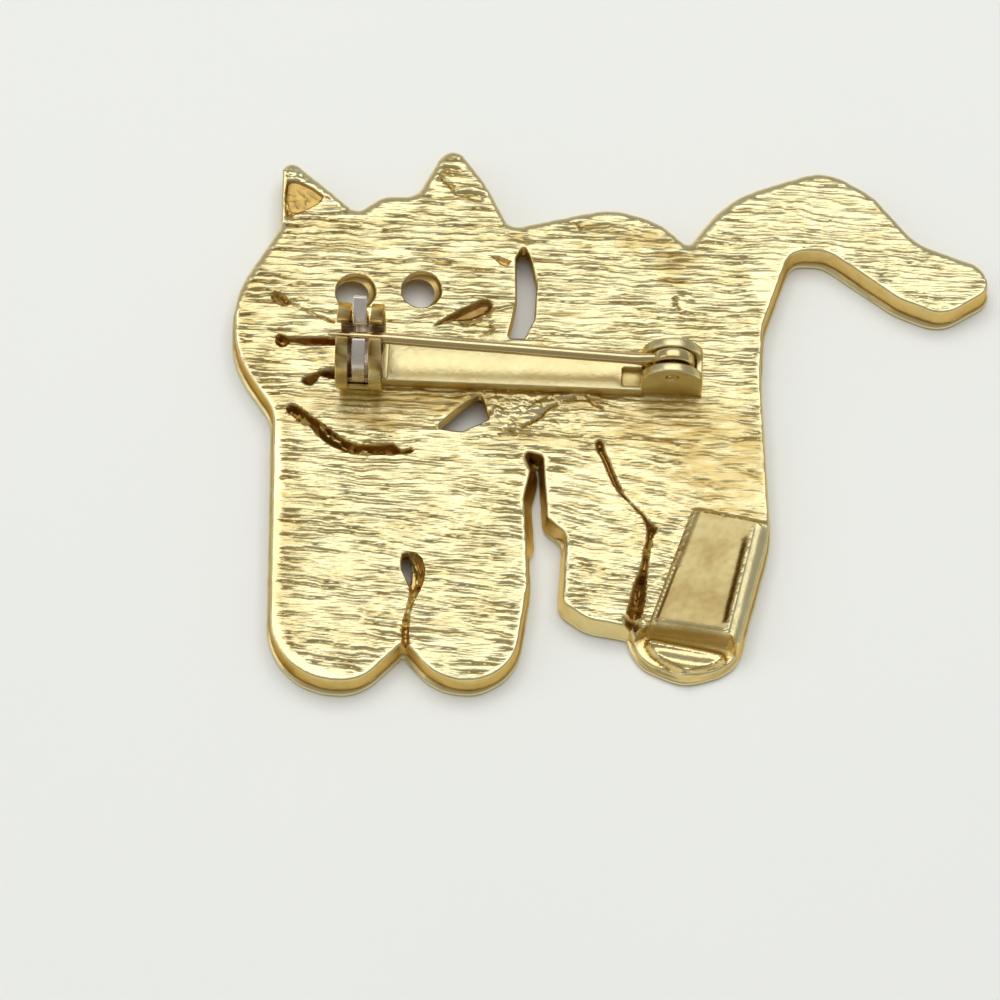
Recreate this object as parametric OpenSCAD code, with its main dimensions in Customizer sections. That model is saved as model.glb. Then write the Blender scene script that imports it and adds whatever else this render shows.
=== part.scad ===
// Cat brooch, lying on its front with the bar pin up.
// One cast cat, a pin stem on a riveted hinge, and a rolling catch sleeve.

/* [Cat] */
// width of the cat from cheek to tail, before the corners are rounded
cat_w = 53; // [40:0.5:80]
// height of the cat from paws to ear tip, before the corners are rounded
cat_h = 41; // [30:0.5:62]
// thickness of the casting
cat_t = 2.4; // [2:0.1:4]
// how far the front flange stands out past the back edge
flange_out = 0.4; // [0.2:0.05:0.5]
// thickness of the front flange at its edge
flange_t = 0.5; // [0.4:0.05:0.8]
// size of the rounded shoulder round the back
shoulder = 0.35; // [0.2:0.05:0.5]
// how much wider the cut-outs are at the front
cutout_flare = 0.55; // [0.2:0.05:0.8]
// depth of the flared front part of a cut-out
flare_t = 1.1; // [0.6:0.1:1.4]

/* [Cuts in the back] */
// diameter of each eye hole
eye_d = 2.8; // [1.8:0.1:4]
// depth of the whisker cuts
whisker_cut = 0.9; // [0.3:0.1:1.4]
// depth of the line round the hind leg
leg_cut = 1.6; // [0.5:0.1:1.8]
// depth of the hollow in the bow knot
knot_cut = 0.5; // [0.2:0.1:1]
// depth of the hollow in the ear
ear_cut = 0.3; // [0.1:0.1:1]
// how far the bow's rim stands up from the back
rim_rise = 0.45; // [0.2:0.05:0.8]
// how far the tag plate stands up from the back
plate_rise = 0.4; // [0.2:0.05:0.8]
// depth of the fine lines along the tag plate's sides
plate_line = 0.15; // [0.05:0.05:0.3]
// level of the ledge below the tag plate
ledge_level = 1.1; // [0.8:0.1:1.8]

/* [Pin finding] */
// length of the finding from catch to hinge
finding_l = 25.4; // [20:0.2:32]
// width of the soldered bar
bar_w = 3; // [2:0.1:4]
// thickness of the soldered bar
bar_t = 0.9; // [0.5:0.1:1.2]
// tilt of the finding on the back, degrees
finding_tilt = -2.6; // [-10:0.1:10]
// outside width of the hinge across both cheeks
hinge_w = 2.6; // [2.2:0.1:3.4]
// length of a hinge cheek along the bar
cheek_l = 4.27; // [3.6:0.05:5]
// height of a hinge cheek above the back
cheek_h = 3.8; // [3.4:0.1:5]
// thickness of a hinge cheek
cheek_t = 0.7; // [0.5:0.05:0.9]
// height of the rivet above the back
rivet_up = 2.6; // [2.2:0.1:3]
// diameter of the rivet
rivet_d = 0.8; // [0.6:0.05:1]
// diameter of the pin wire
wire_d = 0.8; // [0.6:0.05:0.9]
// rise of the pin wire from the hinge to the catch, degrees
wire_rise = 5.2; // [4:0.1:6]
// diameter of the flattened eye of the pin
eye_ring_d = 3; // [2.4:0.1:3.4]
// thickness of the flattened eye of the pin
eye_ring_t = 0.86; // [0.6:0.02:1]
// length of the neck between the eye's centre and the round wire
neck_l = 2.4; // [2.2:0.1:3]
// length of the pin's point
point_l = 4; // [2:0.2:6]
// outside diameter of a catch ring
catch_d = 6; // [5.4:0.1:7]
// height of the catch's axis above the back
catch_up = 3; // [2.8:0.1:3.6]
// width of one catch ring along the bar
catch_ring_w = 0.85; // [0.6:0.05:1.2]
// width of the window between the catch rings
window_w = 1.45; // [1.2:0.05:2]
// width of the slot through the top of the catch rings
catch_slot = 1.35; // [1.1:0.05:1.6]
// wall of a catch ring
catch_wall = 0.45; // [0.35:0.05:0.6]
// wall of the sleeve
sleeve_wall = 0.35; // [0.25:0.05:0.5]
// width of the sleeve in the window
sleeve_w = 0.9; // [0.7:0.05:1.2]
// width of the slot in the sleeve
sleeve_slot = 1.1; // [1:0.05:1.3]
// length of the sleeve's tab
tab_l = 2.3; // [1.5:0.1:3]

/* [Fits] */
// clearance round the rivet
rivet_gap = 0.03; // [0.02:0.01:0.08]
// clearance between the sleeve and the catch rings
sleeve_gap = 0.05; // [0.04:0.01:0.1]

/* [Hidden] */
// finding centre from the cat's left and lower extremes, as shares
finding_x = 0.377;
finding_y = 0.564;
catch_x = -finding_l / 2;
catch_len = 2 * catch_ring_w + window_w;
hinge_x = finding_l / 2 - cheek_l / 2;
rivet_z = cat_t + rivet_up;
catch_z = cat_t + catch_up;
ring_in = catch_d / 2 - catch_wall;
sleeve_out = ring_in - sleeve_gap;
sleeve_in = sleeve_out - sleeve_wall;
web_t = 0.5;
band_in = 0.52;
through = 1;
arc_step = 18;
$fn = 64;

// Corners of the back edge, counter-clockwise from the left ear.
// Columns: across, up, rounding. Across and rounding are percent of the
// cat's width, up is percent of its height.
cat_corners = [
    [5.4, 99.4, 1.2],
    [5.4, 85.1, 1.9],
    [-0.4, 72.2, 13.2],
    [-0.4, 60.2, 13.2],
    [5.1, 49.3, 5.7],
    [5.4, 0, 8.9],
    [17.1, 0, 5.7],
    [22.6, 7, 0.9],
    [27.1, 0, 7.5],
    [36.4, 0, 6.6],
    [38.5, 17.3, 11.3],
    [38.3, 29.3, 0.9],
    [41, 29.3, 1.1],
    [43.5, 26.3, 1.5],
    [42.9, 13.9, 1.9],
    [46.1, 10.9, 4.7],
    [51.6, 9.5, 0.9],
    [53.1, 4.6, 4.2],
    [58.8, 1.3, 5.7],
    [65, 3.9, 4.7],
    [69.9, 26.1, 18.9],
    [69.3, 55.6, 28.3],
    [69.9, 65.6, 5.7],
    [73.9, 80, 3],
    [78.8, 79.9, 4.7],
    [88.2, 70.5, 5.7],
    [94.1, 67.2, 3.8],
    [100.6, 72.4, 1.1],
    [99.3, 77.1, 2.3],
    [90.8, 81.7, 7.5],
    [85.2, 91, 5.7],
    [79, 96.3, 6.6],
    [67.8, 91.5, 11.3],
    [64.1, 87.6, 9.4],
    [60.2, 80.9, 1.1],
    [56.1, 85.9, 9.4],
    [50.1, 88.7, 11.3],
    [36.1, 84.6, 1.9],
    [33.1, 92.9, 15.1],
    [28.1, 102.2, 1.9],
    [23.7, 91, 2.8],
    [19, 90.9, 2.8],
    [15.4, 87.7, 1.5]
];

// Section of the edge band, from its inside up round the outside.
// Columns: outset from the back edge, level.
edge_section = [
    [-band_in, 0],
    [0, 0],
    [flange_out, 0.3],
    [flange_out, flange_t],
    [flange_out - 0.2, flange_t + 0.12],
    [0, cat_t - shoulder],
    [-0.3 * shoulder, cat_t - 0.3 * shoulder],
    [-shoulder, cat_t],
    [-band_in, cat_t]
];

// Cut-outs and cuts, same columns as cat_corners.
neck_slit = [
    [35.9, 63],
    [38.2, 63],
    [39.5, 66.7],
    [39.8, 73.4],
    [39, 78.4],
    [38.1, 81],
    [37, 78.4],
    [37.1, 70.4, 1.6],
    [36.5, 66.3, 1.6]
];
chin_slit = [
    [8.6, 47.1],
    [10.6, 44.8],
    [13, 42.6],
    [15.8, 40.7],
    [21.4, 40.8],
    [24, 41.6],
    [21.2, 43],
    [17.2, 43.1],
    [13.6, 44.8],
    [11.4, 47.2],
    [8.8, 49.9],
    [6.9, 50.7],
    [6.6, 49]
];
bow_hole = [
    [26.4, 45.9],
    [29.9, 45.2],
    [33.5, 47.6],
    [32.4, 52.4],
    [29.8, 50]
];
paw_slit = [
    [22.1, 5.4],
    [23.4, 5.4],
    [23.8, 11],
    [24.6, 14.6],
    [25.3, 17.6],
    [25, 21.4],
    [24, 23.3],
    [22.1, 23.4],
    [22.1, 19.6],
    [23, 15.8],
    [22.7, 11]
];
belly_slit = [
    [38.1, 28.2],
    [41, 28.2],
    [40.9, 40.5],
    [37.8, 41.9],
    [38.9, 38.2],
    [38, 33]
];
leg_line = [
    [50.9, 9.2],
    [53.2, 9.2],
    [53.6, 14],
    [53.8, 19.5],
    [54.6, 23.8],
    [55.5, 27.4],
    [53.2, 30],
    [50.8, 34.2],
    [49.1, 39],
    [48.3, 43.8],
    [47.4, 43.6],
    [48.3, 38.8],
    [50, 34],
    [52.6, 29.2],
    [54, 26.6],
    [53.2, 23.8],
    [52.4, 19.5],
    [51.9, 14]
];
upper_whisker = [
    [4, 70.8],
    [5.2, 68.7],
    [7, 68.9],
    [12.7, 65.4],
    [13, 66.4],
    [7.2, 70],
    [6.3, 71.1],
    [4.8, 72.2]
];
middle_whisker = [
    [5.1, 63.6],
    [5.6, 61.8],
    [7.2, 61.4],
    [13.1, 61.7],
    [13.2, 62.8],
    [7.2, 62.9],
    [6.4, 64]
];
lower_whisker = [
    [8.4, 56.2],
    [9, 54.4],
    [10.3, 53.7],
    [13.6, 55.4],
    [13.6, 57.3],
    [11, 56.5]
];
right_whisker = [
    [25.2, 64.9],
    [28.4, 65.5],
    [31, 66.4],
    [34.1, 68.3],
    [33.7, 70.4],
    [31.9, 70.6],
    [28.3, 67.9]
];
neck_nick = [
    [33.4, 79.4],
    [35.6, 76.2],
    [36.4, 77.9]
];
ear_hollow = [
    [5.9, 92.4],
    [6, 86],
    [10, 88.4],
    [10.8, 90.5],
    [7.5, 93.5]
];
knot_hollow = [
    [34.9, 52.5],
    [35.9, 48.6],
    [37.7, 48.5],
    [40, 50.1],
    [41.8, 52.5],
    [40.5, 56],
    [36, 56]
];
bow_rim = [
    [33.3, 51.6],
    [34, 46.8],
    [35.8, 45.1],
    [38.1, 45.5],
    [41.8, 48.4],
    [43.7, 50.1],
    [46.4, 50.7],
    [48.4, 49],
    [48.8, 50.2],
    [47.2, 52.4],
    [42.6, 52.3],
    [40, 50],
    [37.6, 48.3],
    [35.9, 48.4],
    [34.8, 52.7],
    [33.2, 53.2]
];
tag_plate = [
    [53.9, 9],
    [63.8, 5.8],
    [67.8, 27.8],
    [60.2, 30.6]
];
plate_side = [
    [63.8, 5.8],
    [65.6, 7.6],
    [69, 25.4],
    [67.8, 27.8]
];
ledge_area = [
    [49, 10.4],
    [53.6, 9],
    [64.2, 5.6],
    [67.4, 8],
    [72, 6],
    [66, -6],
    [52, -6]
];

function unit(v) = v / norm(v);
function turned(v, a) = [v.x * cos(a) - v.y * sin(a), v.x * sin(a) + v.y * cos(a)];
function turn_at(a, b, c) =
    let (d = b - a, e = c - b)
    atan2(d.x * e.y - d.y * e.x, d.x * e.x + d.y * e.y);

// points round one corner, each as [place, outward direction]
function corner(a, b, c, r) =
    let (turn = turn_at(a, b, c))
    let (side = sign(turn))
    let (first = turned(unit(b - a), -90))
    let (start = b - unit(b - a) * r * tan(abs(turn) / 2))
    let (middle = start - first * r * side)
    let (steps = max(1, ceil(abs(turn) / arc_step)))
    [for (k = [0 : steps]) let (n = turned(first, turn * k / steps)) [middle + n * r * side, n]];

function place(row) = [(row.x / 100) * cat_w, (row.y / 100) * cat_h];
function rounding(row, usual) = is_undef(row[2]) ? usual : row[2] / 100 * cat_w;
function rounded(rows, usual = 0.2) =
    let (count = len(rows))
    [for (i = [0 : count - 1])
        each corner(
            place(rows[(i + count - 1) % count]),
            place(rows[i]),
            place(rows[(i + 1) % count]),
            rounding(rows[i], usual))];
function outline(path, outset) = [for (p = path) p[0] + p[1] * outset];

back_edge = rounded(cat_corners);
edge_points = outline(back_edge, flange_out);
mid_x = (min([for (p = edge_points) p.x]) + max([for (p = edge_points) p.x])) / 2;
mid_y = (min([for (p = edge_points) p.y]) + max([for (p = edge_points) p.y])) / 2;

module at_finding() {
    translate([finding_x * cat_w - mid_x, finding_y * cat_h - mid_y, 0])
        rotate(finding_tilt)
            children();
}

// band that follows an outline, with the section given as a closed loop
module band(path, section) {
    count = len(path);
    levels = len(section);
    spots = [for (s = section) each [for (p = outline(path, s[0])) [p.x, p.y, s[1]]]];
    sides = [for (k = [0 : levels - 1]) each [for (j = [0 : count - 1])
        let (m = (k + 1) % levels, n = (j + 1) % count)
        [k * count + j, m * count + j, m * count + n, k * count + n]]];
    polyhedron(points = spots, faces = sides);
}

module prism(rows, bottom, top, outset = 0, usual = 0.2) {
    translate([0, 0, bottom])
        linear_extrude(top - bottom)
            polygon(outline(rounded(rows, usual), outset));
}

module cut_out(rows) {
    prism(rows, -through, cat_t + through);
    prism(rows, -through, flare_t, cutout_flare);
}

module groove(rows, depth) {
    prism(rows, cat_t - depth, cat_t + through);
}

module eye_hole(across, up) {
    translate([across / 100 * cat_w, up / 100 * cat_h, 0]) {
        translate([0, 0, -through])
            cylinder(h = cat_t + 2 * through, d = eye_d);
        translate([0, 0, -through])
            cylinder(h = flare_t + through, d = eye_d + 2 * cutout_flare);
    }
}

// straight fine line from one place to another, in the tag plate
module fine_line(from, to, width) {
    a = place(from);
    b = place(to);
    translate([a.x, a.y, cat_t + plate_rise - plate_line])
        rotate(atan2(b.y - a.y, b.x - a.x))
            translate([0, -width / 2, 0])
                cube([norm(b - a), width, plate_line + through]);
}

module cat_body() {
    difference() {
        union() {
            band(back_edge, edge_section);
            linear_extrude(cat_t)
                polygon(outline(back_edge, -band_in + 0.06));
            prism(bow_rim, cat_t - shoulder, cat_t + rim_rise);
            prism(tag_plate, cat_t - shoulder, cat_t + plate_rise);
            prism(plate_side, cat_t - shoulder, cat_t + plate_rise / 2, 0, 0.3);
        }
        eye_hole(15.6, 71.9);
        eye_hole(24.4, 72.3);
        cut_out(neck_slit);
        cut_out(bow_hole);
        prism(chin_slit, -through, cat_t + through);
        prism(paw_slit, -through, cat_t + through);
        prism(belly_slit, -through, cat_t + through);
        groove(leg_line, leg_cut);
        groove(upper_whisker, whisker_cut);
        groove(middle_whisker, whisker_cut);
        groove(lower_whisker, whisker_cut);
        groove(right_whisker, whisker_cut);
        groove(neck_nick, whisker_cut / 2);
        groove(ear_hollow, ear_cut);
        groove(knot_hollow, knot_cut);
        prism(ledge_area, ledge_level, cat_t + through);
        fine_line([60.4, 29], [54.6, 10.2], 0.16);
        fine_line([61.2, 28.8], [55.4, 9.9], 0.16);
        fine_line([66.4, 26.5], [63, 9], 0.22);
    }
}

// cylinder lying along the finding
module along(radius, from, to, level) {
    translate([from, 0, level])
        rotate([0, 90, 0])
            cylinder(h = to - from, r = radius);
}

// cylinder lying across the finding, centred on it
module across(radius, length, level) {
    translate([0, length / 2, level])
        rotate([90, 0, 0])
            cylinder(h = length, r = radius);
}

module hinge_box() {
    crown = cheek_l / 2;
    straight = cheek_h - crown;
    difference() {
        union() {
            translate([-cheek_l / 2, -hinge_w / 2, cat_t - 0.3])
                cube([cheek_l, hinge_w, straight + 0.3]);
            across(crown, hinge_w, cat_t + straight);
        }
        translate([-cheek_l / 2 - through, -hinge_w / 2 + cheek_t, cat_t + 0.4])
            cube([cheek_l + through - web_t, hinge_w - 2 * cheek_t, cheek_h]);
        translate([0, -hinge_w / 2 + cheek_t, cat_t + straight + 0.4])
            cube([cheek_l, hinge_w - 2 * cheek_t, cheek_h]);
        across(rivet_d / 2 + rivet_gap, hinge_w + 2 * through, rivet_z);
    }
}

module catch_box() {
    end = catch_x + catch_len;
    difference() {
        union() {
            along(catch_d / 2, catch_x, catch_x + catch_ring_w, catch_z);
            along(catch_d / 2, end - catch_ring_w, end, catch_z);
            intersection() {
                along(catch_d / 2, catch_x, end, catch_z);
                translate([catch_x, -catch_d / 2, cat_t - 0.2])
                    cube([catch_len, catch_d, catch_up - 1.2]);
            }
        }
        along(ring_in, catch_x - through, end + through, catch_z);
        translate([catch_x - through, -catch_slot / 2, catch_z])
            cube([catch_len + 2 * through, catch_slot, catch_d]);
    }
}

module soldered_bar() {
    bar_end = hinge_x - cheek_l / 2;
    difference() {
        translate([catch_x, -bar_w / 2, cat_t - 0.2])
            cube([bar_end - catch_x + 0.2, bar_w, bar_t + 0.2]);
        along(ring_in, catch_x - through, catch_x + catch_len + through, catch_z);
        translate([bar_end - 1.3, -bar_w / 2 + 0.35, cat_t + 0.3])
            cube([1.3, 1.4, bar_t]);
    }
}

module cat_casting() {
    color([0.86, 0.72, 0.36])
        union() {
            translate([-mid_x, -mid_y, 0])
                cat_body();
            at_finding() {
                soldered_bar();
                catch_box();
                translate([hinge_x, 0, 0])
                    hinge_box();
            }
        }
}

module pin_stem() {
    reach = (hinge_x - catch_x + 0.65) / cos(wire_rise);
    color([0.8, 0.74, 0.58])
        at_finding()
            translate([hinge_x, 0, 0])
                difference() {
                    union() {
                        across(eye_ring_d / 2, eye_ring_t, rivet_z);
                        translate([0, 0, rivet_z])
                            rotate([0, -90 + wire_rise, 0]) {
                                cylinder(h = neck_l, d1 = eye_ring_t, d2 = wire_d);
                                translate([0, 0, neck_l])
                                    cylinder(h = reach - point_l - neck_l, d = wire_d);
                                translate([0, 0, reach - point_l])
                                    cylinder(h = point_l, d1 = wire_d, d2 = wire_d / 4);
                            }
                    }
                    across(rivet_d / 2 + rivet_gap, hinge_w, rivet_z);
                }
}

module hinge_rivet() {
    color([0.78, 0.68, 0.42])
        at_finding()
            translate([hinge_x, 0, 0])
                across(rivet_d / 2, hinge_w + 0.1, rivet_z);
}

module catch_sleeve() {
    middle = catch_x + catch_len / 2;
    tab_t = sleeve_wall + 0.05;
    color([0.7, 0.68, 0.64])
        at_finding() {
            difference() {
                union() {
                    along(sleeve_out, middle - sleeve_w / 2, middle + sleeve_w / 2, catch_z);
                    intersection() {
                        along(sleeve_out, catch_x + 0.1, catch_x + catch_len - 0.1, catch_z);
                        translate([catch_x, -catch_d / 2, catch_z - catch_d / 2])
                            cube([catch_len, catch_d, catch_d / 2 - 0.9]);
                    }
                    translate([middle - sleeve_w / 2, sleeve_slot / 2 + 0.2, catch_z + sleeve_out - 0.35])
                        rotate([-35, 0, 0])
                            translate([0, -tab_t / 2, 0])
                                cube([sleeve_w, tab_t, tab_l + 0.35]);
                }
                along(sleeve_in, catch_x - through, catch_x + catch_len + through, catch_z);
                translate([middle - sleeve_w, -sleeve_slot / 2, catch_z])
                    cube([2 * sleeve_w, sleeve_slot, catch_d]);
            }
        }
}

cat_casting();
pin_stem();
hinge_rivet();
catch_sleeve();
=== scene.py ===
import math

import bmesh
import bpy
import numpy as np
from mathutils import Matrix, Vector
from mathutils.geometry import delaunay_2d_cdt
from mathutils.kdtree import KDTree


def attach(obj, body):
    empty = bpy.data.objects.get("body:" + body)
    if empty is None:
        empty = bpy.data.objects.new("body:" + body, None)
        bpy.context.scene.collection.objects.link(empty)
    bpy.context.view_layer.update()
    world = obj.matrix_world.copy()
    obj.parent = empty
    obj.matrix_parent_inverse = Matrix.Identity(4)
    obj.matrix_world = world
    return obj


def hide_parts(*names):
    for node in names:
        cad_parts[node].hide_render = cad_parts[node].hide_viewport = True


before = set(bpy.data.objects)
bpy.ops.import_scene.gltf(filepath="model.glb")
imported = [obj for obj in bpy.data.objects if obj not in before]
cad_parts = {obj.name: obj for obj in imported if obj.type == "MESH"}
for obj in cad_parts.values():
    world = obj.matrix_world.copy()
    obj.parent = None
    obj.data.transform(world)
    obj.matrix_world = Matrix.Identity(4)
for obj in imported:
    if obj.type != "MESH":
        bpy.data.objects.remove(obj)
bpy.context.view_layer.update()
mm = 0.001
scene = bpy.context.scene

# the cast cat: sizes in mm, rows as percent of its width and height, rounding as percent of its width
cat = {
    "width": 53.0,
    "height": 41.0,
    "thick": 2.4,
    "flangeOut": 0.4,
    "shoulder": 0.16,     # rounding of the back's rim
    "topShoulder": 0.42,  # how much more it has along the top
    "leftShoulder": 0.3,  # and on the upper left
    "holeRound": 0.10,
    "edge": [
        [5.4, 99.4, 1.2], [5.4, 85.1, 1.9], [-0.4, 72.2, 13.2], [-0.4, 60.2, 13.2],
        [5.1, 49.3, 5.7], [5.4, 0, 8.9], [17.1, 0, 5.7], [22.6, 7, 0.9],
        [27.1, 0, 7.5], [36.4, 0, 6.6], [38.5, 17.3, 11.3], [38.2, 29.3, 1.0],
        [38.0, 33.0, 1.5], [38.9, 38.2, 0.9], [38.0, 41.7, 0.5], [40.5, 40.8, 0.5],
        [41.0, 29.3, 1.1], [43.5, 26.3, 1.5], [42.9, 13.9, 1.9], [46.1, 10.9, 4.7],
        [51.6, 9.5, 0.9], [53.1, 4.6, 4.2], [58.8, 1.3, 5.7], [65, 3.9, 4.7],
        [69.9, 26.1, 18.9], [69.3, 55.6, 28.3], [69.9, 65.6, 5.7], [73.9, 80, 3],
        [78.8, 79.9, 4.7], [88.2, 70.5, 5.7], [94.1, 67.2, 4.6], [100.6, 72.4, 2.2],
        [99.3, 77.1, 3.2], [90.8, 81.7, 7.5], [85.2, 91, 5.7], [79, 96.3, 6.6],
        [67.8, 91.5, 11.3], [64.1, 87.6, 9.4], [60.2, 80.9, 1.1], [56.1, 85.9, 9.4],
        [50.1, 88.7, 11.3], [36.1, 84.6, 1.9], [33.1, 92.9, 15.1], [28.1, 102.2, 1.9],
        [23.7, 91, 2.8], [19, 90.9, 2.8], [15.4, 87.7, 1.5],
    ],
    "eyes": [(15.6, 71.9), (24.4, 72.3)],
    "eyeWide": 2.8,
    "eyeLean": (-0.32, -0.06),  # the eyes' inner rims sit off centre
    "lineLevel": 0.52,          # of the line above the flange
}

# the back's mesh: spacing of its points along and across the drawn lines, and along the rings, in mm
mesh = {"across": 0.28, "up": 0.073, "least": 0.055, "ringSpacing": 0.21, "ringLeast": 0.07, "seed": 7}
farReach = 60    # further than any two places of the cat are apart
cutRound = 0.05  # rounding of the cuts' corners

# openings through the cat; wall is how deep the side goes before it widens, in mm
openings = {
    "neckSlit": {"wall": 1.0, "rows": [
        [35.9, 63], [38.2, 63], [39.5, 66.7], [39.8, 73.4], [39, 78.4], [38.1, 81],
        [37, 78.4], [37.1, 70.4, 1.6], [36.5, 66.3, 1.6]]},
    "bowHole": {"wall": 0.75, "rows": [
        [26.4, 45.9], [29.9, 45.2], [33.5, 47.6], [32.4, 52.4], [29.8, 50]]},
    "pawHole": {"wall": 0.5, "round": 0.1, "rows": [
        [22.2, 19.8], [22.8, 18.2], [23.3, 17.1], [23.4, 18.2], [23.5, 20], [23.4, 21.8],
        [23, 22.9], [22.3, 22.6], [22.1, 21.3]]},
    "chinHole": {"wall": 2.4, "round": 0.08, "rows": [
        [10.7, 44.9], [11.8, 43.6], [13.1, 42.4], [14.4, 41.7], [15.2, 41.7], [15, 42.3],
        [13.8, 43.2], [12.6, 44.1], [11.6, 45.3], [11.1, 46.4], [10.2, 46]]},
}

# cuts and hollows in the back: depth and width of the sloping side in mm, tone from 0 bright to 1 brown,
# which paints shade on their floors, and amber from 0 pale to 1
cuts = {
    "pawLine": {"depth": 0.9, "side": 0.3, "tone": 0.32, "amber": 0.4, "rows": [
        [22.1, 20], [22.6, 18.2], [23.2, 16.4], [23.2, 15], [22.8, 12.8], [22.4, 10.7],
        [22.3, 8.5], [22.3, 4.6], [23.4, 4.6], [23.2, 8.5], [23.3, 10.3], [23.4, 12.1],
        [23.8, 13.9], [24.6, 16], [25.1, 17.9], [25.2, 20], [24.8, 21.8], [24, 22.9], [23, 23.1],
        [22.2, 22.7], [22, 21.5]]},
    "chinLine": {"depth": 0.95, "side": 0.45, "tone": 0.85, "amber": 0.5, "rows": [
        [6.8, 49], [7.4, 48.3], [8.5, 47.1], [9.5, 46.6], [10.1, 45.8], [11, 44.5], [12.1, 43.2],
        [13.3, 42.1], [14.7, 41.3], [15.9, 41.1], [16.9, 41.1], [18.3, 40.8], [20, 40.8],
        [21.9, 41], [23.2, 41.1], [23.7, 41.7], [23.2, 42.3], [21.9, 41.9], [21.4, 42.6],
        [20.8, 43.2], [18.8, 43], [17.4, 42.8], [16.1, 43], [14.8, 43.6], [13.8, 44.5],
        [12.6, 45.8], [11.3, 47.1], [10.1, 48.3], [9.1, 49.4], [8.1, 50.3], [7.5, 50.7], [7, 50.3],
        [6.7, 49.6]]},
    "legLine": {"depth": 0.9, "side": 0.55, "tone": 0.84, "amber": 0.3, "rows": [
        [47.6, 41.3], [48.2, 39.8], [48.8, 37.6], [49.5, 35.4], [50.2, 33.9], [51.3, 32.3],
        [52.2, 31], [53.1, 29.7], [53.7, 28.2], [53.9, 26.8], [53.8, 25.1], [53.4, 23.3],
        [53.1, 21.1], [52.7, 19.3], [52.0, 16.9], [51.5, 14.2], [50.9, 11.2], [50.6, 8.5],
        [50.6, 6.7], [52.6, 6.7], [52.8, 8.5], [53.1, 11.0], [53.6, 13.5],
        [53.8, 15.7], [53.9, 17.9], [54.1, 20.4], [54.3, 22.2], [54.4, 24.2], [54.7, 25.5],
        [55.2, 26.6], [55.4, 27.5], [54.9, 28], [54.2, 28.8], [53.7, 29.9], [52.9, 30.8],
        [51.9, 32.3], [51.1, 33.7], [50.4, 35.9], [49.8, 38], [49.3, 40], [48.7, 41.7],
        [48.5, 43.2], [48.1, 43.9], [47.6, 43.8], [47.3, 42.8]]},
    "upperWhisker": {"depth": 0.55, "side": 0.35, "tone": 0.66, "amber": 0.3, "rows": [
        [4.3, 70.6], [5, 69.6], [5.7, 69], [6.5, 69], [7, 69.4], [7.8, 68.8], [8.9, 68.1],
        [10.5, 66.9], [12.1, 65.9], [12.9, 65.6], [13, 66.1], [12.4, 66.5], [11, 67.1],
        [9.7, 68.1], [8.3, 69], [7.3, 69.8], [6.7, 70.4], [6.2, 71.2], [5.5, 71.9], [4.8, 72.1],
        [4.3, 71.5]]},
    "middleWhisker": {"depth": 0.7, "side": 0.4, "tone": 0.95, "amber": 0.3, "rows": [
        [5.2, 61.7], [5.7, 61.2], [6.5, 61.2], [7, 62.1], [7.9, 62.0], [9.3, 61.6], [11.4, 61.4],
        [13.4, 61.5], [13.4, 63.0], [11.9, 63.2], [10, 63.3], [8.2, 63.3], [6.9, 63.1],
        [6.3, 63.6], [5.6, 64], [5.1, 63.3], [5, 62.5]]},
    "lowerWhisker": {"depth": 0.8, "side": 0.5, "tone": 0.95, "amber": 0.1, "rows": [
        [9.3, 53.9], [10.1, 53.9], [10.7, 54.7], [11.1, 55.8], [11.9, 55.4], [12.8, 55.1],
        [13.6, 55.2], [13.6, 57.5], [12.2, 57.1], [11.1, 56.8], [9.9, 56.2], [8.8, 55.6],
        [8.6, 54.7]]},
    "rightWhisker": {"depth": 0.55, "side": 0.4, "tone": 0.9, "amber": 0.0, "rows": [
        [26.5, 65.2], [27.6, 65.8], [28.6, 66.1], [29.9, 66.1], [31, 66.3], [32.1, 66.9],
        [33.1, 67.5], [33.9, 68.6], [33.9, 69.8], [33.3, 70.6], [32.3, 70.4], [31, 69.6],
        [29.4, 68.5], [27.9, 67.3], [26.6, 66.1], [25.7, 65]]},
    "neckNick": {"depth": 0.3, "side": 0.2, "tone": 0.5, "amber": 0.5, "rows": [
        [35.1, 77], [35.8, 76.8], [36.5, 77.8], [34.9, 78.6], [33.5, 78.9]]},
    "earHollow": {"depth": 0.22, "side": 0.12, "tone": 0.70, "amber": 0.95, "rows": [
        [5.8, 90.2], [6, 87], [6.6, 86.4], [7.6, 87.2], [9.2, 88.2], [10.6, 89.4], [11.1, 90.6],
        [9.6, 92.2], [7.9, 93.4], [6.7, 93.8], [6, 93]]},
}
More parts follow.
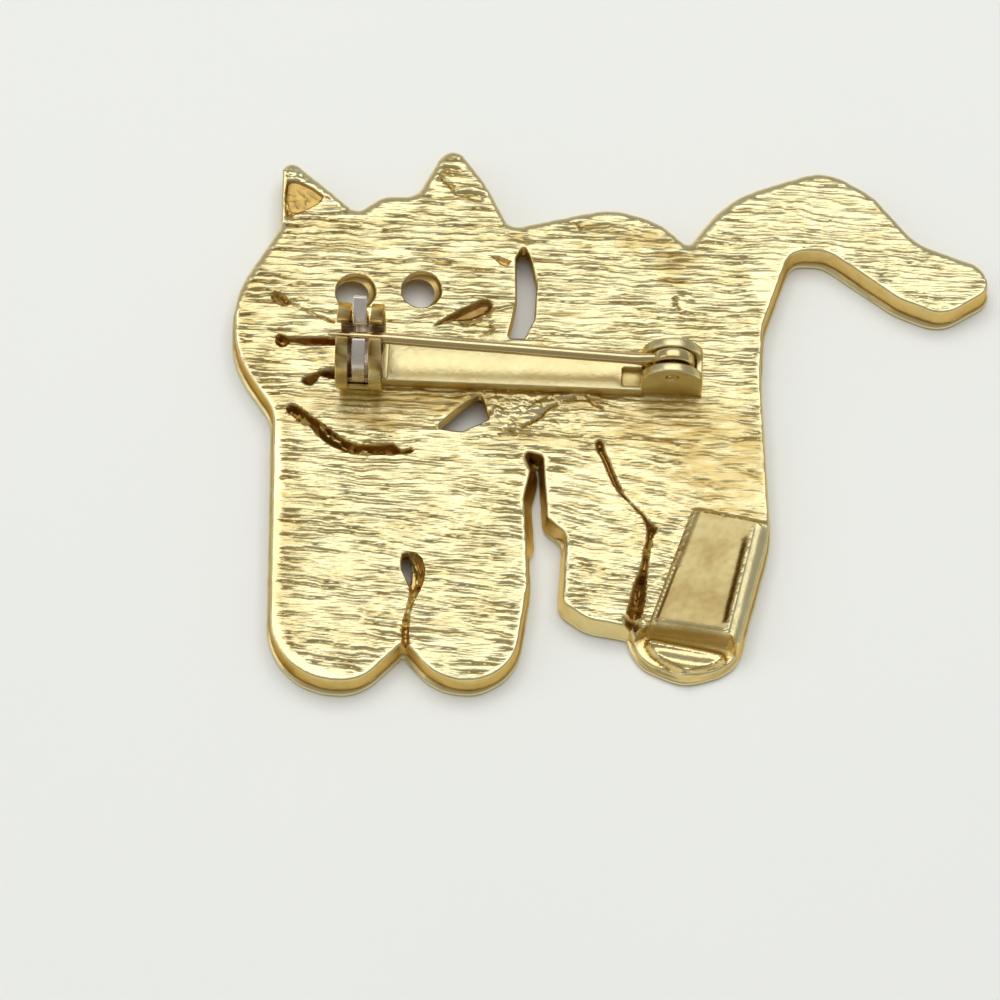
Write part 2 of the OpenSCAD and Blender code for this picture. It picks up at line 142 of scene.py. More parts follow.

# strokes in the back: from, to (percent), half width and depth in mm (minus is raised), tone, which is
# painted shade in the cut strokes and, below zero, a painted highlight
strokeRows = [
    [26.6, 96.6, 28.8, 96, 0.15, 0.1, 0.5], [26.5, 95.6, 28.5, 94.8, 0.12, 0.12, 0.5],
    [28.5, 94.8, 30.5, 94.4, 0.07, 0.06, 0.35], [26.3, 95.6, 29.3, 90.6, 0.07, 0.11, 0.5],
    [27.8, 93.2, 29.7, 93, 0.08, 0.06, 0.4], [29.1, 91, 32.3, 90, 0.16, 0.12, 0.55],
    [25, 93, 25.7, 92.2, 0.12, 0.08, 0.5], [45.8, 84.6, 49.3, 84.6, 0.14, 0.12, 0.5],
    [45.5, 85.2, 46, 83.7, 0.15, 0.14, 0.6], [52, 84.4, 56, 82.5, 0.18, 0.06, 0.55],
    [53.2, 83.1, 57.6, 81.3, 0.2, 0.05, 0.5], [55.8, 79.3, 59.4, 79.3, 0.14, 0.04, 0.5],
    [55.5, 76.8, 59, 76.6, 0.22, 0.04, 0.6], [56.3, 74.7, 60.3, 73.5, 0.2, 0.05, 0.7],
    [59.4, 72.1, 58.2, 70.6, 0.07, 0.12, 0.5], [58.2, 70.6, 58.2, 69.2, 0.07, 0.12, 0.5],
    [58.2, 69.2, 59.2, 67.7, 0.07, 0.12, 0.5], [59.2, 71.4, 60.7, 69.8, 0.06, 0.08, 0.4],
    [36.5, 82.7, 38.5, 81.9, 0.26, 0.1, 0.5], [38.2, 85.4, 38.4, 80.9, 0.06, 0.08, 0.4],
    [24.8, 78.4, 27.8, 78, 0.07, 0.08, 0.4], [27.8, 78, 28.7, 76.6, 0.07, 0.08, 0.4],
    [28.7, 76.6, 33.7, 76, 0.07, 0.08, 0.4], [33.4, 67.9, 33.8, 64.4, 0.08, 0.12, 0.6],
    [33.8, 64.4, 32.1, 63.4, 0.06, 0.1, 0.6], [34.2, 68.5, 37, 69.2, 0.13, 0.12, 0.55],
    [27, 47.5, 30.8, 52.2, 0.26, -0.10, -0.2], [30.8, 52.2, 32.4, 53.3, 0.22, -0.09, -0.2],
    [34.7, 44.7, 41.3, 44.5, 0.06, 0.12, 0.7], [41.3, 44.5, 61.2, 43.4, 0.05, 0.06, 0.35],
    [35, 42.6, 37.1, 42.3, 0.08, 0.06, 0.3], [33.5, 53, 34.6, 48.8, 0.24, -0.10, -0.2],
    [34.6, 48.8, 36.3, 46, 0.28, -0.09, 0.1], [36.7, 45.6, 39.7, 49.4, 0.32, -0.10, 0.1],
    [39.7, 49.4, 42.4, 51.8, 0.30, -0.09, 0.1], [42.4, 51.8, 45.6, 53, 0.24, -0.1, 0.0],
    [45.6, 53, 47.7, 51.6, 0.2, -0.08, 0.05], [37.9, 46, 40.3, 47.9, 0.09, 0.14, 1.0],
    [40.3, 47.9, 41.1, 49.4, 0.09, 0.14, 1.0], [41.1, 49.4, 42.5, 50.3, 0.09, 0.12, 0.9],
    [36.2, 45.4, 36.8, 44.7, 0.12, 0.2, 0.8], [44, 51.1, 44.8, 51.8, 0.1, 0.12, 0.7],
    [46.3, 52, 47.2, 50.3, 0.09, 0.14, 0.7], [47.2, 50.3, 48.4, 49.6, 0.09, 0.16, 0.8],
    [33.3, 48.3, 33.7, 48.8, 0.1, 0.14, 0.7], [41.3, 51.1, 41.9, 51.6, 0.05, 0.05, 0.4],
    [7.8, 97.0, 12.8, 92.4, 0.34, 0.05, 0.6], [12.8, 92.4, 16.6, 88.8, 0.26, 0.04, 0.5],
    [6.1, 93.4, 6.2, 86.9, 0.2, 0.05, 1.0], [6.8, 95.2, 7.1, 94.4, 0.28, -0.08, -0.9],
    [7.4, 94.2, 11.6, 90.8, 0.16, -0.06, -0.9], [11.6, 90.8, 14.8, 87.6, 0.13, -0.05, -0.8],
    [7.6, 92.0, 9.2, 89.8, 0.06, 0.05, 0.65], [8.7, 91.8, 10.1, 90.4, 0.06, 0.04, 0.6],
    [6.9, 91.4, 7.6, 88.4, 0.06, 0.05, 0.7], [8.6, 90.2, 8.5, 88.6, 0.06, 0.05, 0.6],
    [27.4, 95.9, 29.7, 95.6, 0.13, 0.14, 0.6], [26.6, 94.4, 29.6, 91.0, 0.13, 0.18, 0.6],
    [29.9, 91.4, 32.3, 90.8, 0.17, 0.16, 0.6],
    [6.1, 89.2, 6.8, 86.4, 0.08, -0.1, 0.1], [4.7, 71.2, 5.8, 69.6, 0.09, -0.3, 0.1],
    [5.4, 71.5, 6.2, 70.2, 0.05, -0.25, 0.1], [5.3, 62.7, 6.3, 62.3, 0.1, -0.22, 0.1],
    [11.4, 56.9, 13.4, 57.0, 0.12, -0.2, 0.3], [30.1, 65.6, 32.1, 66.5, 0.16, 0.2, 0.5],
    [7.5, 48.8, 8.6, 47.7, 0.08, -0.55, -0.5], [8.6, 47.7, 9.3, 46.8, 0.08, -0.55, -0.5],
    [9.3, 46.8, 10, 46.6, 0.08, -0.5, -0.5], [11.4, 46.6, 11.9, 45.3, 0.09, -0.6, -0.5],
    [11.9, 45.3, 12.7, 44.3, 0.09, -0.6, -0.5], [12.7, 44.3, 13.9, 43.4, 0.09, -0.6, -0.5],
    [19.3, 41.9, 19.3, 41.7, 0.09, -0.5, -0.6], [16.9, 41.3, 17.5, 41.1, 0.09, -0.5, -0.5],
    [15.1, 42.3, 15.6, 42.1, 0.09, -0.4, -0.3], [23.6, 22.2, 24.3, 19.7, 0.09, -0.35, -0.3],
    [24.3, 19.7, 24.1, 17.1, 0.09, -0.35, -0.3], [24.1, 17.1, 23.2, 13.2, 0.09, -0.35, -0.2],
    [23.2, 13.2, 22.8, 9.8, 0.08, -0.3, -0.2], [54.2, 14.2, 53.1, 10.8, 0.12, 0.08, 0.2],
    [50.9, 11.3, 52.9, 10.3, 0.07, -0.75, -0.5], [54.4, 25.1, 53.9, 22.2, 0.1, -0.3, 0.1],
    [51.9, 9.4, 51.6, 7.1, 0.09, -0.55, -0.5], [52.6, 16.5, 52.3, 13.0, 0.08, -0.3, 0.1],
]

# smooth places in the drawn lines: middle (percent), half sizes in mm
smoothRows = [
    [26.4, 92.2, 0.9, 0.8], [8.7, 58.0, 1.0, 0.5], [70.0, 73.3, 1.0, 1.2], [30.3, 96.9, 0.8, 0.5],
    [59.0, 86.0, 0.8, 0.5], [20.5, 79.5, 1.3, 0.4], [10.8, 92.6, 1.7, 1.0], [7.4, 95.4, 0.9, 0.9],
]

# duller brown patches, some of them painted shadow below the bar pin: middle (percent), half sizes in mm,
# tone, dullness
shadowAndPatchRows = [
    [58.6, 46.4, 6.6, 2.3, 0.36, 0.5], [27.1, 51.1, 5.4, 1.3, 0.62, 0.6],
    [44.9, 51.8, 3.3, 1.1, 0.5, 0.5], [19.9, 47.7, 3.1, 0.9, 0.45, 0.5],
    [13.5, 81.1, 2.3, 0.6, 0.45, 0.4], [30.7, 76.8, 1.2, 0.6, 0.35, 0.3],
    [54.5, 81.9, 2.3, 0.8, 0.4, 0.4], [63.8, 39.8, 4.1, 4.5, 0.34, 0.5],
    [37.7, 82.1, 1.0, 0.7, 0.5, 0.4], [48.2, 84.3, 1.9, 0.6, 0.35, 0.3],
    [58.6, 78.4, 1.8, 2.1, 0.35, 0.4], [64.2, 30.2, 2.9, 0.7, 0.4, 0.4],
    [57.4, 79.2, 1.2, 0.28, 0.6, 0.5], [57.2, 76.7, 1.0, 0.38, 0.66, 0.5],
    [58.2, 74.0, 1.2, 0.36, 0.7, 0.5], [47.8, 84.7, 1.5, 0.25, 0.5, 0.5],
    [36.6, 46.3, 1.7, 0.6, 0.45, 0.5], [7.9, 21.5, 1.5, 6.8, 0.22, 0.2],
    [11, 51.1, 2.1, 0.9, 0.3, 0.4], [40.2, 43.6, 4.1, 0.8, 0.25, 0.3],
]

# crumpled solder in the knot of the bow: place in percent, the rest in mm
knot = {"at": (37.4, 50.6), "half": (1.75, 1.05), "high": 0.12, "rough": 0.10}

# the tag plate and the hind paw below it: outlines in percent, the rest in mm
tagPlate = {
    "riseTop": 0.10,
    "riseFoot": 0.42,
    "rows": [[53.9, 9.6], [64.1, 7.4], [68.2, 28.3], [59.9, 30.5]],
    "side": [[64.1, 7.4], [65.6, 4], [69.3, 12.1], [70.5, 21.1], [70.2, 26.1], [68.2, 28.3]],
    "ledge": [[51.4, 5.3], [52.2, 8.5], [54, 9.8], [64.2, 7.6], [65.9, 5], [73.3, 5.3], [70.5, -7],
              [50.2, -7]],
    "lens": [[53.4, 8.5], [55.6, 7.8], [60.7, 6.4], [64.6, 5.1], [62.2, 3.7], [59.3, 2.3], [58.6, 2.3],
             [56.5, 3.9], [54.5, 6]],
    "beads": [[53.7, 9.6], [55.3, 9.3], [58.3, 19.9], [56.7, 20.2]],
    "beadPitch": 0.35,
    "ledgeLevel": 0.95,
    "lensLevel": 1.35,
    "facetHigh": 0.055,
    "facetPitch": 1.15,
    # rings of points at these distances outwards from each outline, and the spacing of the points inside it
    "guides": {"rows": (0.05, -0.04), "ledge": (0.08, -0.02, -0.12), "lens": (0.25, 0.05, -0.05, -0.14),
               "side": (0.10, -0.05)},
    "spacing": {"rows": (0.075, 0.11), "side": (0.11, 0.12), "ledge": (0.12, 0.12), "beads": (0.05, 0.055)},
}

# marks on the plate: how high they stand in mm, and how much browner they are, which paints shade in the sunk
# marks and, below zero, highlights on the raised ones
plateMarks = {"foot": (0.08, -0.60), "beads": (0.09, -0.75), "engraved": (-0.20, 0.5), "lines": (-0.07, 0.2),
              "raised": (0.07, -0.6)}

# how brown and how amber each feature of the drawn back is painted: painted shade in the troughs, valleys and
# cracks and at the left ends of the lines, and at random in the patches
markTone = {"long": 0.36, "short": 0.15, "patch": 0.10, "left": 0.12, "valley": 0.10, "crack": 0.32}
markAmber = {"valley": 0.06, "long": 0.06, "left": 0.18, "patch": 0.14}

# where the back's points are closer: the knot and the left ear
finerRows = [
    [[32, 43.6], [49, 48], [49, 54.5], [32, 54.5]],
    [[5.2, 97], [7.5, 97.5], [17, 88], [16, 86.5], [5.2, 86]],
]

# the edge's wall: how much of the flange's lip shows, how far the wall's foot stands out in mm,
# how deep the line above the lip is and how much painted shade darkens the wall
usualEdge = {"lip": 1.0, "foot": 0.06, "line": 1.0, "shade": 1.0}

# where it differs, with the box in mm and which way the wall faces
edgeStyles = {
    "leftSide": {"box": (-27.6, -19.6, -19.5, 12.0), "faces": -1,
                 "lip": 0.9, "foot": 0.12, "line": 1.0, "shade": 2.4},
    "leftEar": {"box": (-26.5, -22.2, 14.6, 21), "lip": 0.2, "foot": 0.05, "line": 0.3, "shade": 1.2},
    "slitLeft": {"box": (-6.9, -5.2, -10.5, -3.2), "faces": 1,
                 "lip": 0.1, "foot": 0.52, "line": 0.1, "shade": 1.6},
    "slitRight": {"box": (-5.4, -4.0, -9.6, -3.6), "faces": -1,
                  "lip": 0.55, "foot": 0.30, "line": 0.6, "shade": 1.8},
    "nearLeg": {"box": (-4.3, -3.2, -14.8, -10.6), "faces": -1,
                "lip": 0.5, "foot": 0.3, "line": 0.5, "shade": 0.1},
    "nearToe": {"box": (-4.6, 0.9, -18.2, -14.8), "lip": 0.35, "foot": 0.25, "line": 0.0, "shade": 0.55},
    "hindToe": {"box": (1.6, 9.5, -22, -17.0), "lip": 0.7, "foot": 0.2, "line": 0.25, "shade": 0.9},
}

# rows of the walls from above: how far out, level, tone, and for the eyes how much they lean; the tones paint
# shade down the walls and highlights on the flange's lip and the eyes' inner lip
flangeRows = [(0.12, 0.48, 0.4), (0.26, 0.44, 0.06), (0.34, 0.37, 0.03), (0.37, 0.28, 0.1), (0.36, 0.17, 0.3),
              (0.30, 0.07, 0.4), (0.21, 0.0, 0.4)]
eyeRows = [(0.0, 2.12, 0.50, 0), (-0.02, 1.92, 0.62, 0.3), (-0.10, 1.80, 0.62, 0.7), (-0.15, 1.74, 0.0, 1),
           (-0.15, 1.66, 0.1, 1), (-0.05, 1.58, 0.6, 1), (0.35, 1.4, 0.5, 0.6), (0.75, 0.9, 0.4, 0.2),
           (0.75, 0.0, 0.4, 0)]
straightRows = [(-0.03, 0.45, 0.1), (-0.06, 0.36, 0.1), (-0.06, 0.22, 0.1), (-0.03, 0.1, 0.4),
                (0.0, 0.0, 0.5)]

# how the drawn lines on the back run; sizes in mm
flow = {
    "slope": 0.05,        # lines fall to the right
    "legSlope": 0.10,     # more on the front legs
    "tailSlope": 0.06,    # and more on the tail
    "haunchFall": 2.5,    # mm that they fall across the near hind leg
    "pitch": 0.52,        # between the main lines
    "dash": 2.5,          # about how long they run
    "deep": 0.062,
    "finePitch": 0.27,
    "fineDash": 1.1,
    "fineDeep": 0.024,
    "wide": 0.165,        # a line's half width, as a share of the pitch
    "crownDeep": 0.013,
    "crackDeep": 0.038,
    # how the lines bend: share of the pitch, size across in mm, size up in pitches, step of the seed
    "bends": [(0.42, 6.5, 3.2, 0), (0.26, 1.3, 1.6, 1), (0.13, 0.62, 1.0, 4)],
}

# parts of the cat: where each begins and is reached in full, across and up in mm
regions = {
    "tail": ((9.0, 12.0), (8.0, 11.0)),
    "tailEnd": ((8.5, 12.0), (6.0, 9.0)),
    "head": ((-3.0, -7.0), (4.0, 9.0)),
    "leftLeg": ((-18.0, -20.5), (2.0, -3.0)),
}

# layers of unevenness, each with rows of amount, size across and up in mm, and seed
grains = {
    "wander": [(0.16, 5.0, 2.6, 3), (0.05, 1.3, 0.9, 4)],
    "ragged": [(0.16, 1.4, 0.42, 11), (0.09, 0.5, 0.2, 12)],
    "smoothEdge": [(0.5, 0.8, 0.5, 84)],
    "broad": [(0.055, 9.0, 2.7, 21), (0.035, 4.5, 1.15, 22)],
    "cracked": [(1.0, 3.6, 2.6, 82)],
    "longCrack": [(1.0, 1.5, 0.8, 81)],
    "shortCrack": [(1.0, 0.8, 0.42, 83)],
    "thin": [(1.0, 4.0, 1.6, 61)],
    "hair": [(0.008, 1.1, 0.16, 33)],
    "pebble": [(0.010, 0.8, 0.6, 41)],
    "patch": [(1.0, 3.5, 1.1, 71)],
    "amberPatch": [(1.0, 1.6, 0.35, 72)],
    "cutEdge": [(0.02, 0.4, 0.4, 55)],
    "cutFloor": [(0.03, 0.9, 0.7, 51)],
    "cutTone": [(0.12, 1.2, 0.8, 56)],
    "crumple": [(1.0, 0.75, 0.55, 52)],
    "fineCrumple": [(1.0, 0.36, 0.30, 53)],
    "strokeEdge": [(0.22, 0.45, 0.35, 95)],
    "patchCloud": [(0.6, 2.2, 0.55, 97), (0.3, 0.8, 0.3, 98)],
    "slope": [(0.015, 0.8, 1.4, 63)],
    "plate": [(0.016, 0.9, 1.0, 61), (0.006, 0.25, 0.3, 64)],
    "plateTone": [(0.12, 1.5, 1.8, 67), (0.08, 0.4, 0.5, 68)],
    "engraved": [(0.03, 0.9, 1.0, 66)],
    "facets": [(0.06, 1.5, 1.5, 62)],
    "wallWobble": [(0.022, 0.9, 2 / 3, 71)],
    "wallTone": [(0.26, 1.5, 1 / 1.3, 73), (0.14, 0.45, 0.4, 76)],
    "wallDent": [(0.035, 0.6, 1 / 3.1, 77)],
    "flangeRoll": [(0.05, 2.3, 1.0, 74), (0.02, 0.7, 1.0, 75)],
}


def place(row):
    # from percent of the cat's width and height to mm
    return np.array([row[0] / 100 * cat["width"], row[1] / 100 * cat["height"]])


def turned(v, angle):
    c, s = math.cos(angle), math.sin(angle)
    return np.array([v[0] * c - v[1] * s, v[0] * s + v[1] * c])


def turnAt(a, b, c):
    d, e = b - a, c - b
    return math.atan2(d[0] * e[1] - d[1] * e[0], d @ e)


def roundCorner(a, b, c, radius, step):
    # points round the corner b, and their outward directions
    turn = turnAt(a, b, c)
    side = 1 if turn > 0 else -1
    d = (b - a) / np.linalg.norm(b - a)
    first = turned(d, -math.pi / 2)
    centre = b - d * radius * math.tan(abs(turn) / 2) - first * radius * side
    steps = max(1, math.ceil(math.degrees(abs(turn)) / step))
    outward = [turned(first, turn * k / steps) for k in range(steps + 1)]
    return [centre + n * radius * side for n in outward], outward


def roundedPath(rows, usual=0.2, step=7.5):
    # closed path with rounded corners, as points and outward directions; usual is the radius in mm
    # where a row gives none, and step the degrees between points
    points, outward = [], []
    for i, row in enumerate(rows):
        radius = row[2] / 100 * cat["width"] if len(row) > 2 else usual
        a, b, c = place(rows[i - 1]), place(row), place(rows[(i + 1) % len(rows)])
        cornerPoints, cornerOutward = roundCorner(a, b, c, radius, step)
        points += cornerPoints
        outward += cornerOutward
    return np.array(points), np.array(outward)


def finer(points, outward, spacing):
    newPoints, newOutward = [], []
    count = len(points)
    for i in range(count):
        a, b = points[i], points[(i + 1) % count]
        m, n = outward[i], outward[(i + 1) % count]
        parts = max(1, math.ceil(np.linalg.norm(b - a) / spacing))
        for k in range(parts):
            t = k / parts
            v = m * (1 - t) + n * t
            newPoints.append(a * (1 - t) + b * t)
            newOutward.append(v / np.linalg.norm(v))
    return np.array(newPoints), np.array(newOutward)


def evenRing(points, outward):
    # evenly spaced, without the points that crowd their neighbour
    points, outward = finer(points, outward, mesh["ringSpacing"])
    least = mesh["ringLeast"]
    keep = [0]
    for i in range(1, len(points)):
        if np.linalg.norm(points[i] - points[keep[-1]]) >= least:
            keep.append(i)
    if np.linalg.norm(points[keep[-1]] - points[keep[0]]) < least:
        keep.pop()
    return points[keep], outward[keep]


def squaredGap(places, a, b):
    # squared distance of each place from the line between a and b
    d = b - a
    t = np.clip(((places - a) @ d) / max(d @ d, 1e-12), 0, 1)
    gap = places - a - t[:, None] * d
    return gap[:, 0] ** 2 + gap[:, 1] ** 2


def insideOf(places, ring):
    inside = np.zeros(len(places), bool)
    x, y = places[:, 0], places[:, 1]
    for a, b in zip(ring, np.roll(ring, -1, axis=0)):
        if a[1] == b[1]:
            continue
        crosses = (a[1] > y) != (b[1] > y)
        inside ^= crosses & (x < (b[0] - a[0]) * (y - a[1]) / (b[1] - a[1]) + a[0])
    return inside


def signedDistance(places, ring, reach=1.5):
    # negative inside; far places get the reach
    found = np.full(len(places), float(reach))
    low, high = ring.min(axis=0) - reach, ring.max(axis=0) + reach
    near = np.all((places > low) & (places < high), axis=1)
    if near.any():
        some = places[near]
        best = np.full(len(some), 1e9)
        for a, b in zip(ring, np.roll(ring, -1, axis=0)):
            np.minimum(best, squaredGap(some, a, b), out=best)
        found[near] = np.sqrt(best) * np.where(insideOf(some, ring), -1, 1)
    return found


def smoothStep(low, high, value):
    t = np.clip((value - low) / (high - low), 0, 1)
    return t * t * (3 - 2 * t)


def ridge(value, at, half):
    return np.exp(-((value - at) / half) ** 2)


def waves(u, v, seed):
    # smooth gradient noise, about -1 to 1
    size = 96
    angle = np.random.default_rng(seed).random((size, size)) * 2 * math.pi
    gx, gy = np.cos(angle), np.sin(angle)
    i, j = np.floor(u).astype(int), np.floor(v).astype(int)
    fu, fv = u - i, v - j
    su, sv = (f ** 3 * (f * (f * 6 - 15) + 10) for f in (fu, fv))

    def dot(di, dj):
        a, b = (i + di) % size, (j + dj) % size
        return gx[a, b] * (fu - di) + gy[a, b] * (fv - dj)

    low = dot(0, 0) * (1 - su) + dot(1, 0) * su
    high = dot(0, 1) * (1 - su) + dot(1, 1) * su
    return (low * (1 - sv) + high * sv) * 1.5


def grain(name, x, y):
    # the sum of a grain's layers at each place
    return sum(amount * waves(x / across, y / up, seed) for amount, across, up, seed in grains[name])


def within(name, x, y):
    # 1 in the region and 0 away from it
    across, up = regions[name]
    return smoothStep(*across, x) * smoothStep(*up, y)


# the middle of the flange's box lies on the origin, as in the solid
edgePoints, edgeOutward = roundedPath(cat["edge"])
flangeEdge = edgePoints + edgeOutward * cat["flangeOut"]
boxMiddle = (flangeEdge.min(axis=0) + flangeEdge.max(axis=0)) / 2
edgePoints = edgePoints - boxMiddle


def spot(row):
    # the row's place in the brooch's own frame
    return place(row) - boxMiddle


def spots(rows):
    return np.array([spot(row) for row in rows])


def ringOf(rows, usual=0.2, step=12.0):
    points, outward = roundedPath(rows, usual, step)
    return points - boxMiddle, outward


def circleRing(row, wide, steps=72):
    a = np.linspace(0, 2 * math.pi, steps, endpoint=False)
    n = np.stack([np.cos(a), np.sin(a)], axis=1)
    return spot(row) + n * wide / 2, n


def oval(places, row, wide, tall):
    # squared distance from the row's place, which is 1 at the half sizes wide and tall
    at = spot(row)
    return ((places[:, 0] - at[0]) / wide) ** 2 + ((places[:, 1] - at[1]) / tall) ** 2


def lineUp(x, y):
    # the height at which the drawn line through each place starts
    leg = smoothStep(-1.0, -11.0, y)
    haunch = np.clip((x + 6.0) / 12.5, 0, 1) * ridge(y, -10.0, 6.5)
    up = y + flow["slope"] * x + flow["legSlope"] * leg * (np.minimum(x, -5.5) + 18)
    up = up + flow["haunchFall"] * haunch + flow["tailSlope"] * within("tail", x, y) * (x - 12)
    return up + grain("wander", x, y)


def troughs(x, up, pitch, dash, seed):
    # thin troughs side by side, each broken up in its own way
    phase = up / pitch
    for share, across, tall, own in flow["bends"]:
        phase = phase + share * waves(x / across, up / (tall * pitch), seed + own)
    row = np.floor(phase)
    off = phase - row - 0.5
    broken = waves(x / dash + 17.31 * row, 0.613 * row + 0.5, seed + 2)
    bend = waves(x / (dash * 0.6) + 9.17 * row, 0.37 * row + 0.5, seed + 3)
    shape = ridge(off, -0.10 * bend, flow["wide"] + 0.05 * bend)
    return shape * smoothStep(-0.45, 0.35, broken), np.cos(2 * math.pi * off)


def marginWide(x, y):
    # the smooth margin is widest on the left and round the front paws
    return 0.22 + 0.45 * within("leftLeg", x, y) + 0.10 * smoothStep(-14.5, -17.5, y)


def lay(layers, share, **values):
    # lays new values over the old, in full where the share is 1
    for key, value in values.items():
        layers[key] = layers[key] * (1 - share) + value * share


def atLeast(layers, **values):
    for key, value in values.items():
        layers[key] = np.maximum(layers[key], value)


def drawnBack(places):
    # level of the drawn back at each place, with its tone, how plain it is, how amber and how dull
    x, y = places[:, 0], places[:, 1]
    edge = -signedDistance(places, edgePoints, farReach)
    up = lineUp(x, y)
    field = smoothStep(-0.05, 0.06, edge + grain("ragged", x, up) - marginWide(x, y))
    for *at, wide, tall in smoothRows:
        off = oval(places, at, wide, tall) + grain("smoothEdge", x, y)
        field = field * (0.35 + 0.65 * smoothStep(0.5, 1.2, off))
    long, crown = troughs(x, up, flow["pitch"], flow["dash"], seed=31)
    short, _ = troughs(x, up + 0.11, flow["finePitch"], flow["fineDash"], seed=51)
    crack = ridge(grain("longCrack", x + 0.45 * up, up), 0.0, 0.11)
    crack = np.maximum(crack, 0.8 * ridge(grain("shortCrack", x + 4, up), 0.0, 0.16))
    crack = crack * smoothStep(-0.1, 0.5, grain("cracked", x, y))
    # the lines' painted shade is darkest on the head, and the lines are faint on the tail
    onTail = within("tailEnd", x, y)
    strong = 1 + 0.3 * within("head", x, y) - 0.45 * onTail
    thin = smoothStep(-0.5, 0.5, grain("thin", x, up))
    rim = 0.75 + 0.7 * ridge(edge, 0.9, 0.7)
    lines = flow["deep"] * long * rim + flow["fineDeep"] * short * (0.4 + 0.6 * thin)
    lines = lines * (1 - 0.4 * onTail) + flow["crownDeep"] * crown + flow["crackDeep"] * crack
    broad = grain("broad", x, up)
    level = cat["thick"] - 0.04 * (1 - smoothStep(0.1, 0.6, edge))
    level = level + field * (broad - 0.02 - lines + grain("hair", x, up))
    level = level + (1 - field) * (0.5 * broad + grain("pebble", x, y))
    # painted shade darkens the troughs, their valleys, the cracks and the left ends of the lines; broad
    # patches darken at random
    left = np.exp(-(edge - 0.5) / 1.5) * smoothStep(-19.6, -23.2, x)
    patch = smoothStep(0.2, 0.9, grain("patch", x, up))
    marks = {"long": long, "short": short, "left": left, "patch": patch, "valley": 0.5 + 0.5 * crown,
             "crack": crack}
    tone = long * (0.30 * left + 0.25 * patch) + sum(markTone[key] * marks[key] for key in markTone)
    amber = field * sum(markAmber[key] * marks[key] for key in markAmber)
    amber = amber + 0.06 * smoothStep(-0.2, 0.8, grain("amberPatch", x, up))
    return {"level": level, "tone": field * strong * tone, "plain": 1 - field, "amber": amber,
            "dull": np.zeros(len(places))}


def cutInto(back, places):
    x, y = places[:, 0], places[:, 1]
    for cut in cuts.values():
        gap = signedDistance(places, ringOf(cut["rows"], cutRound)[0], reach=1.0)
        share = smoothStep(0.03, -cut["side"], gap + grain("cutEdge", x, y))
        inside = smoothStep(0.02, -0.08, gap)
        lay(back, share, level=cat["thick"] - cut["depth"] + grain("cutFloor", x, y))
        lay(back, inside, amber=cut["amber"])
        # painted shade on the cut's floor
        atLeast(back, tone=inside * (cut["tone"] + grain("cutTone", x, y)), dull=0.6 * inside, plain=share)


def addKnot(back, places):
    # crumpled solder in the knot of the bow, with painted shade in its creases
    x, y = places[:, 0], places[:, 1]
    share = np.exp(-oval(places, knot["at"], *knot["half"]) ** 2)
    crumple = np.abs(grain("crumple", x, y)) + 0.5 * np.abs(grain("fineCrumple", x, y))
    back["level"] = back["level"] + share * (knot["high"] + knot["rough"] * crumple)
    back["tone"] = back["tone"] * (1 - 0.95 * share) + 0.6 * share * smoothStep(0.16, 0.02, crumple)
    back["amber"] = back["amber"] * (1 - 0.8 * share)
    atLeast(back, plain=share)


def addStrokes(back, places):
    # single strokes cut into the back or raised from it, with painted shade in the cut ones and a painted
    # highlight on the raised ones
    for x1, y1, x2, y2, half, depth, dark in strokeRows:
        a, b = spot((x1, y1)), spot((x2, y2))
        reach = half * 2.6
        near = np.all((places > np.minimum(a, b) - reach) & (places < np.maximum(a, b) + reach), axis=1)
        if not near.any():
            continue
        some = places[near]
        gap = np.sqrt(squaredGap(some, a, b)) * (1 + grain("strokeEdge", some[:, 0], some[:, 1]))
        raised = depth < 0
        share = np.sqrt(np.clip(1 - (gap / (half * 1.35)) ** 2, 0, 1)) if raised else ridge(gap, 0, half)
        back["level"][near] -= depth * share
        tone = np.maximum(back["tone"][near] * (1 - share * 0.6 * raised), share * dark)
        back["tone"][near] = np.clip(tone + min(dark, 0) * share, 0, 1)
        back["plain"][near] = np.maximum(back["plain"][near], share)


def addShadowsAndPatches(back, places):
    # brown, duller patches; those below the bar pin paint its shadow
    cloud = np.clip(0.75 + grain("patchCloud", places[:, 0], places[:, 1]), 0, 1.4)
    for *at, wide, tall, dark, matte in shadowAndPatchRows:
        share = np.exp(-oval(places, at, wide, tall) ** 1.5) * cloud
        tone = np.clip(back["tone"] * 0.5 + share * dark, 0, 1)
        atLeast(back, tone=tone, dull=share * matte, amber=np.clip(share * matte * 0.9, 0, 1))
    back["dull"] = np.clip(back["dull"], 0, 1)


def awayFrom(places, a, b):
    # how far to the left of the line from a to b
    d = (b - a) / np.linalg.norm(b - a)
    return (places[:, 1] - a[1]) * d[0] - (places[:, 0] - a[0]) * d[1]


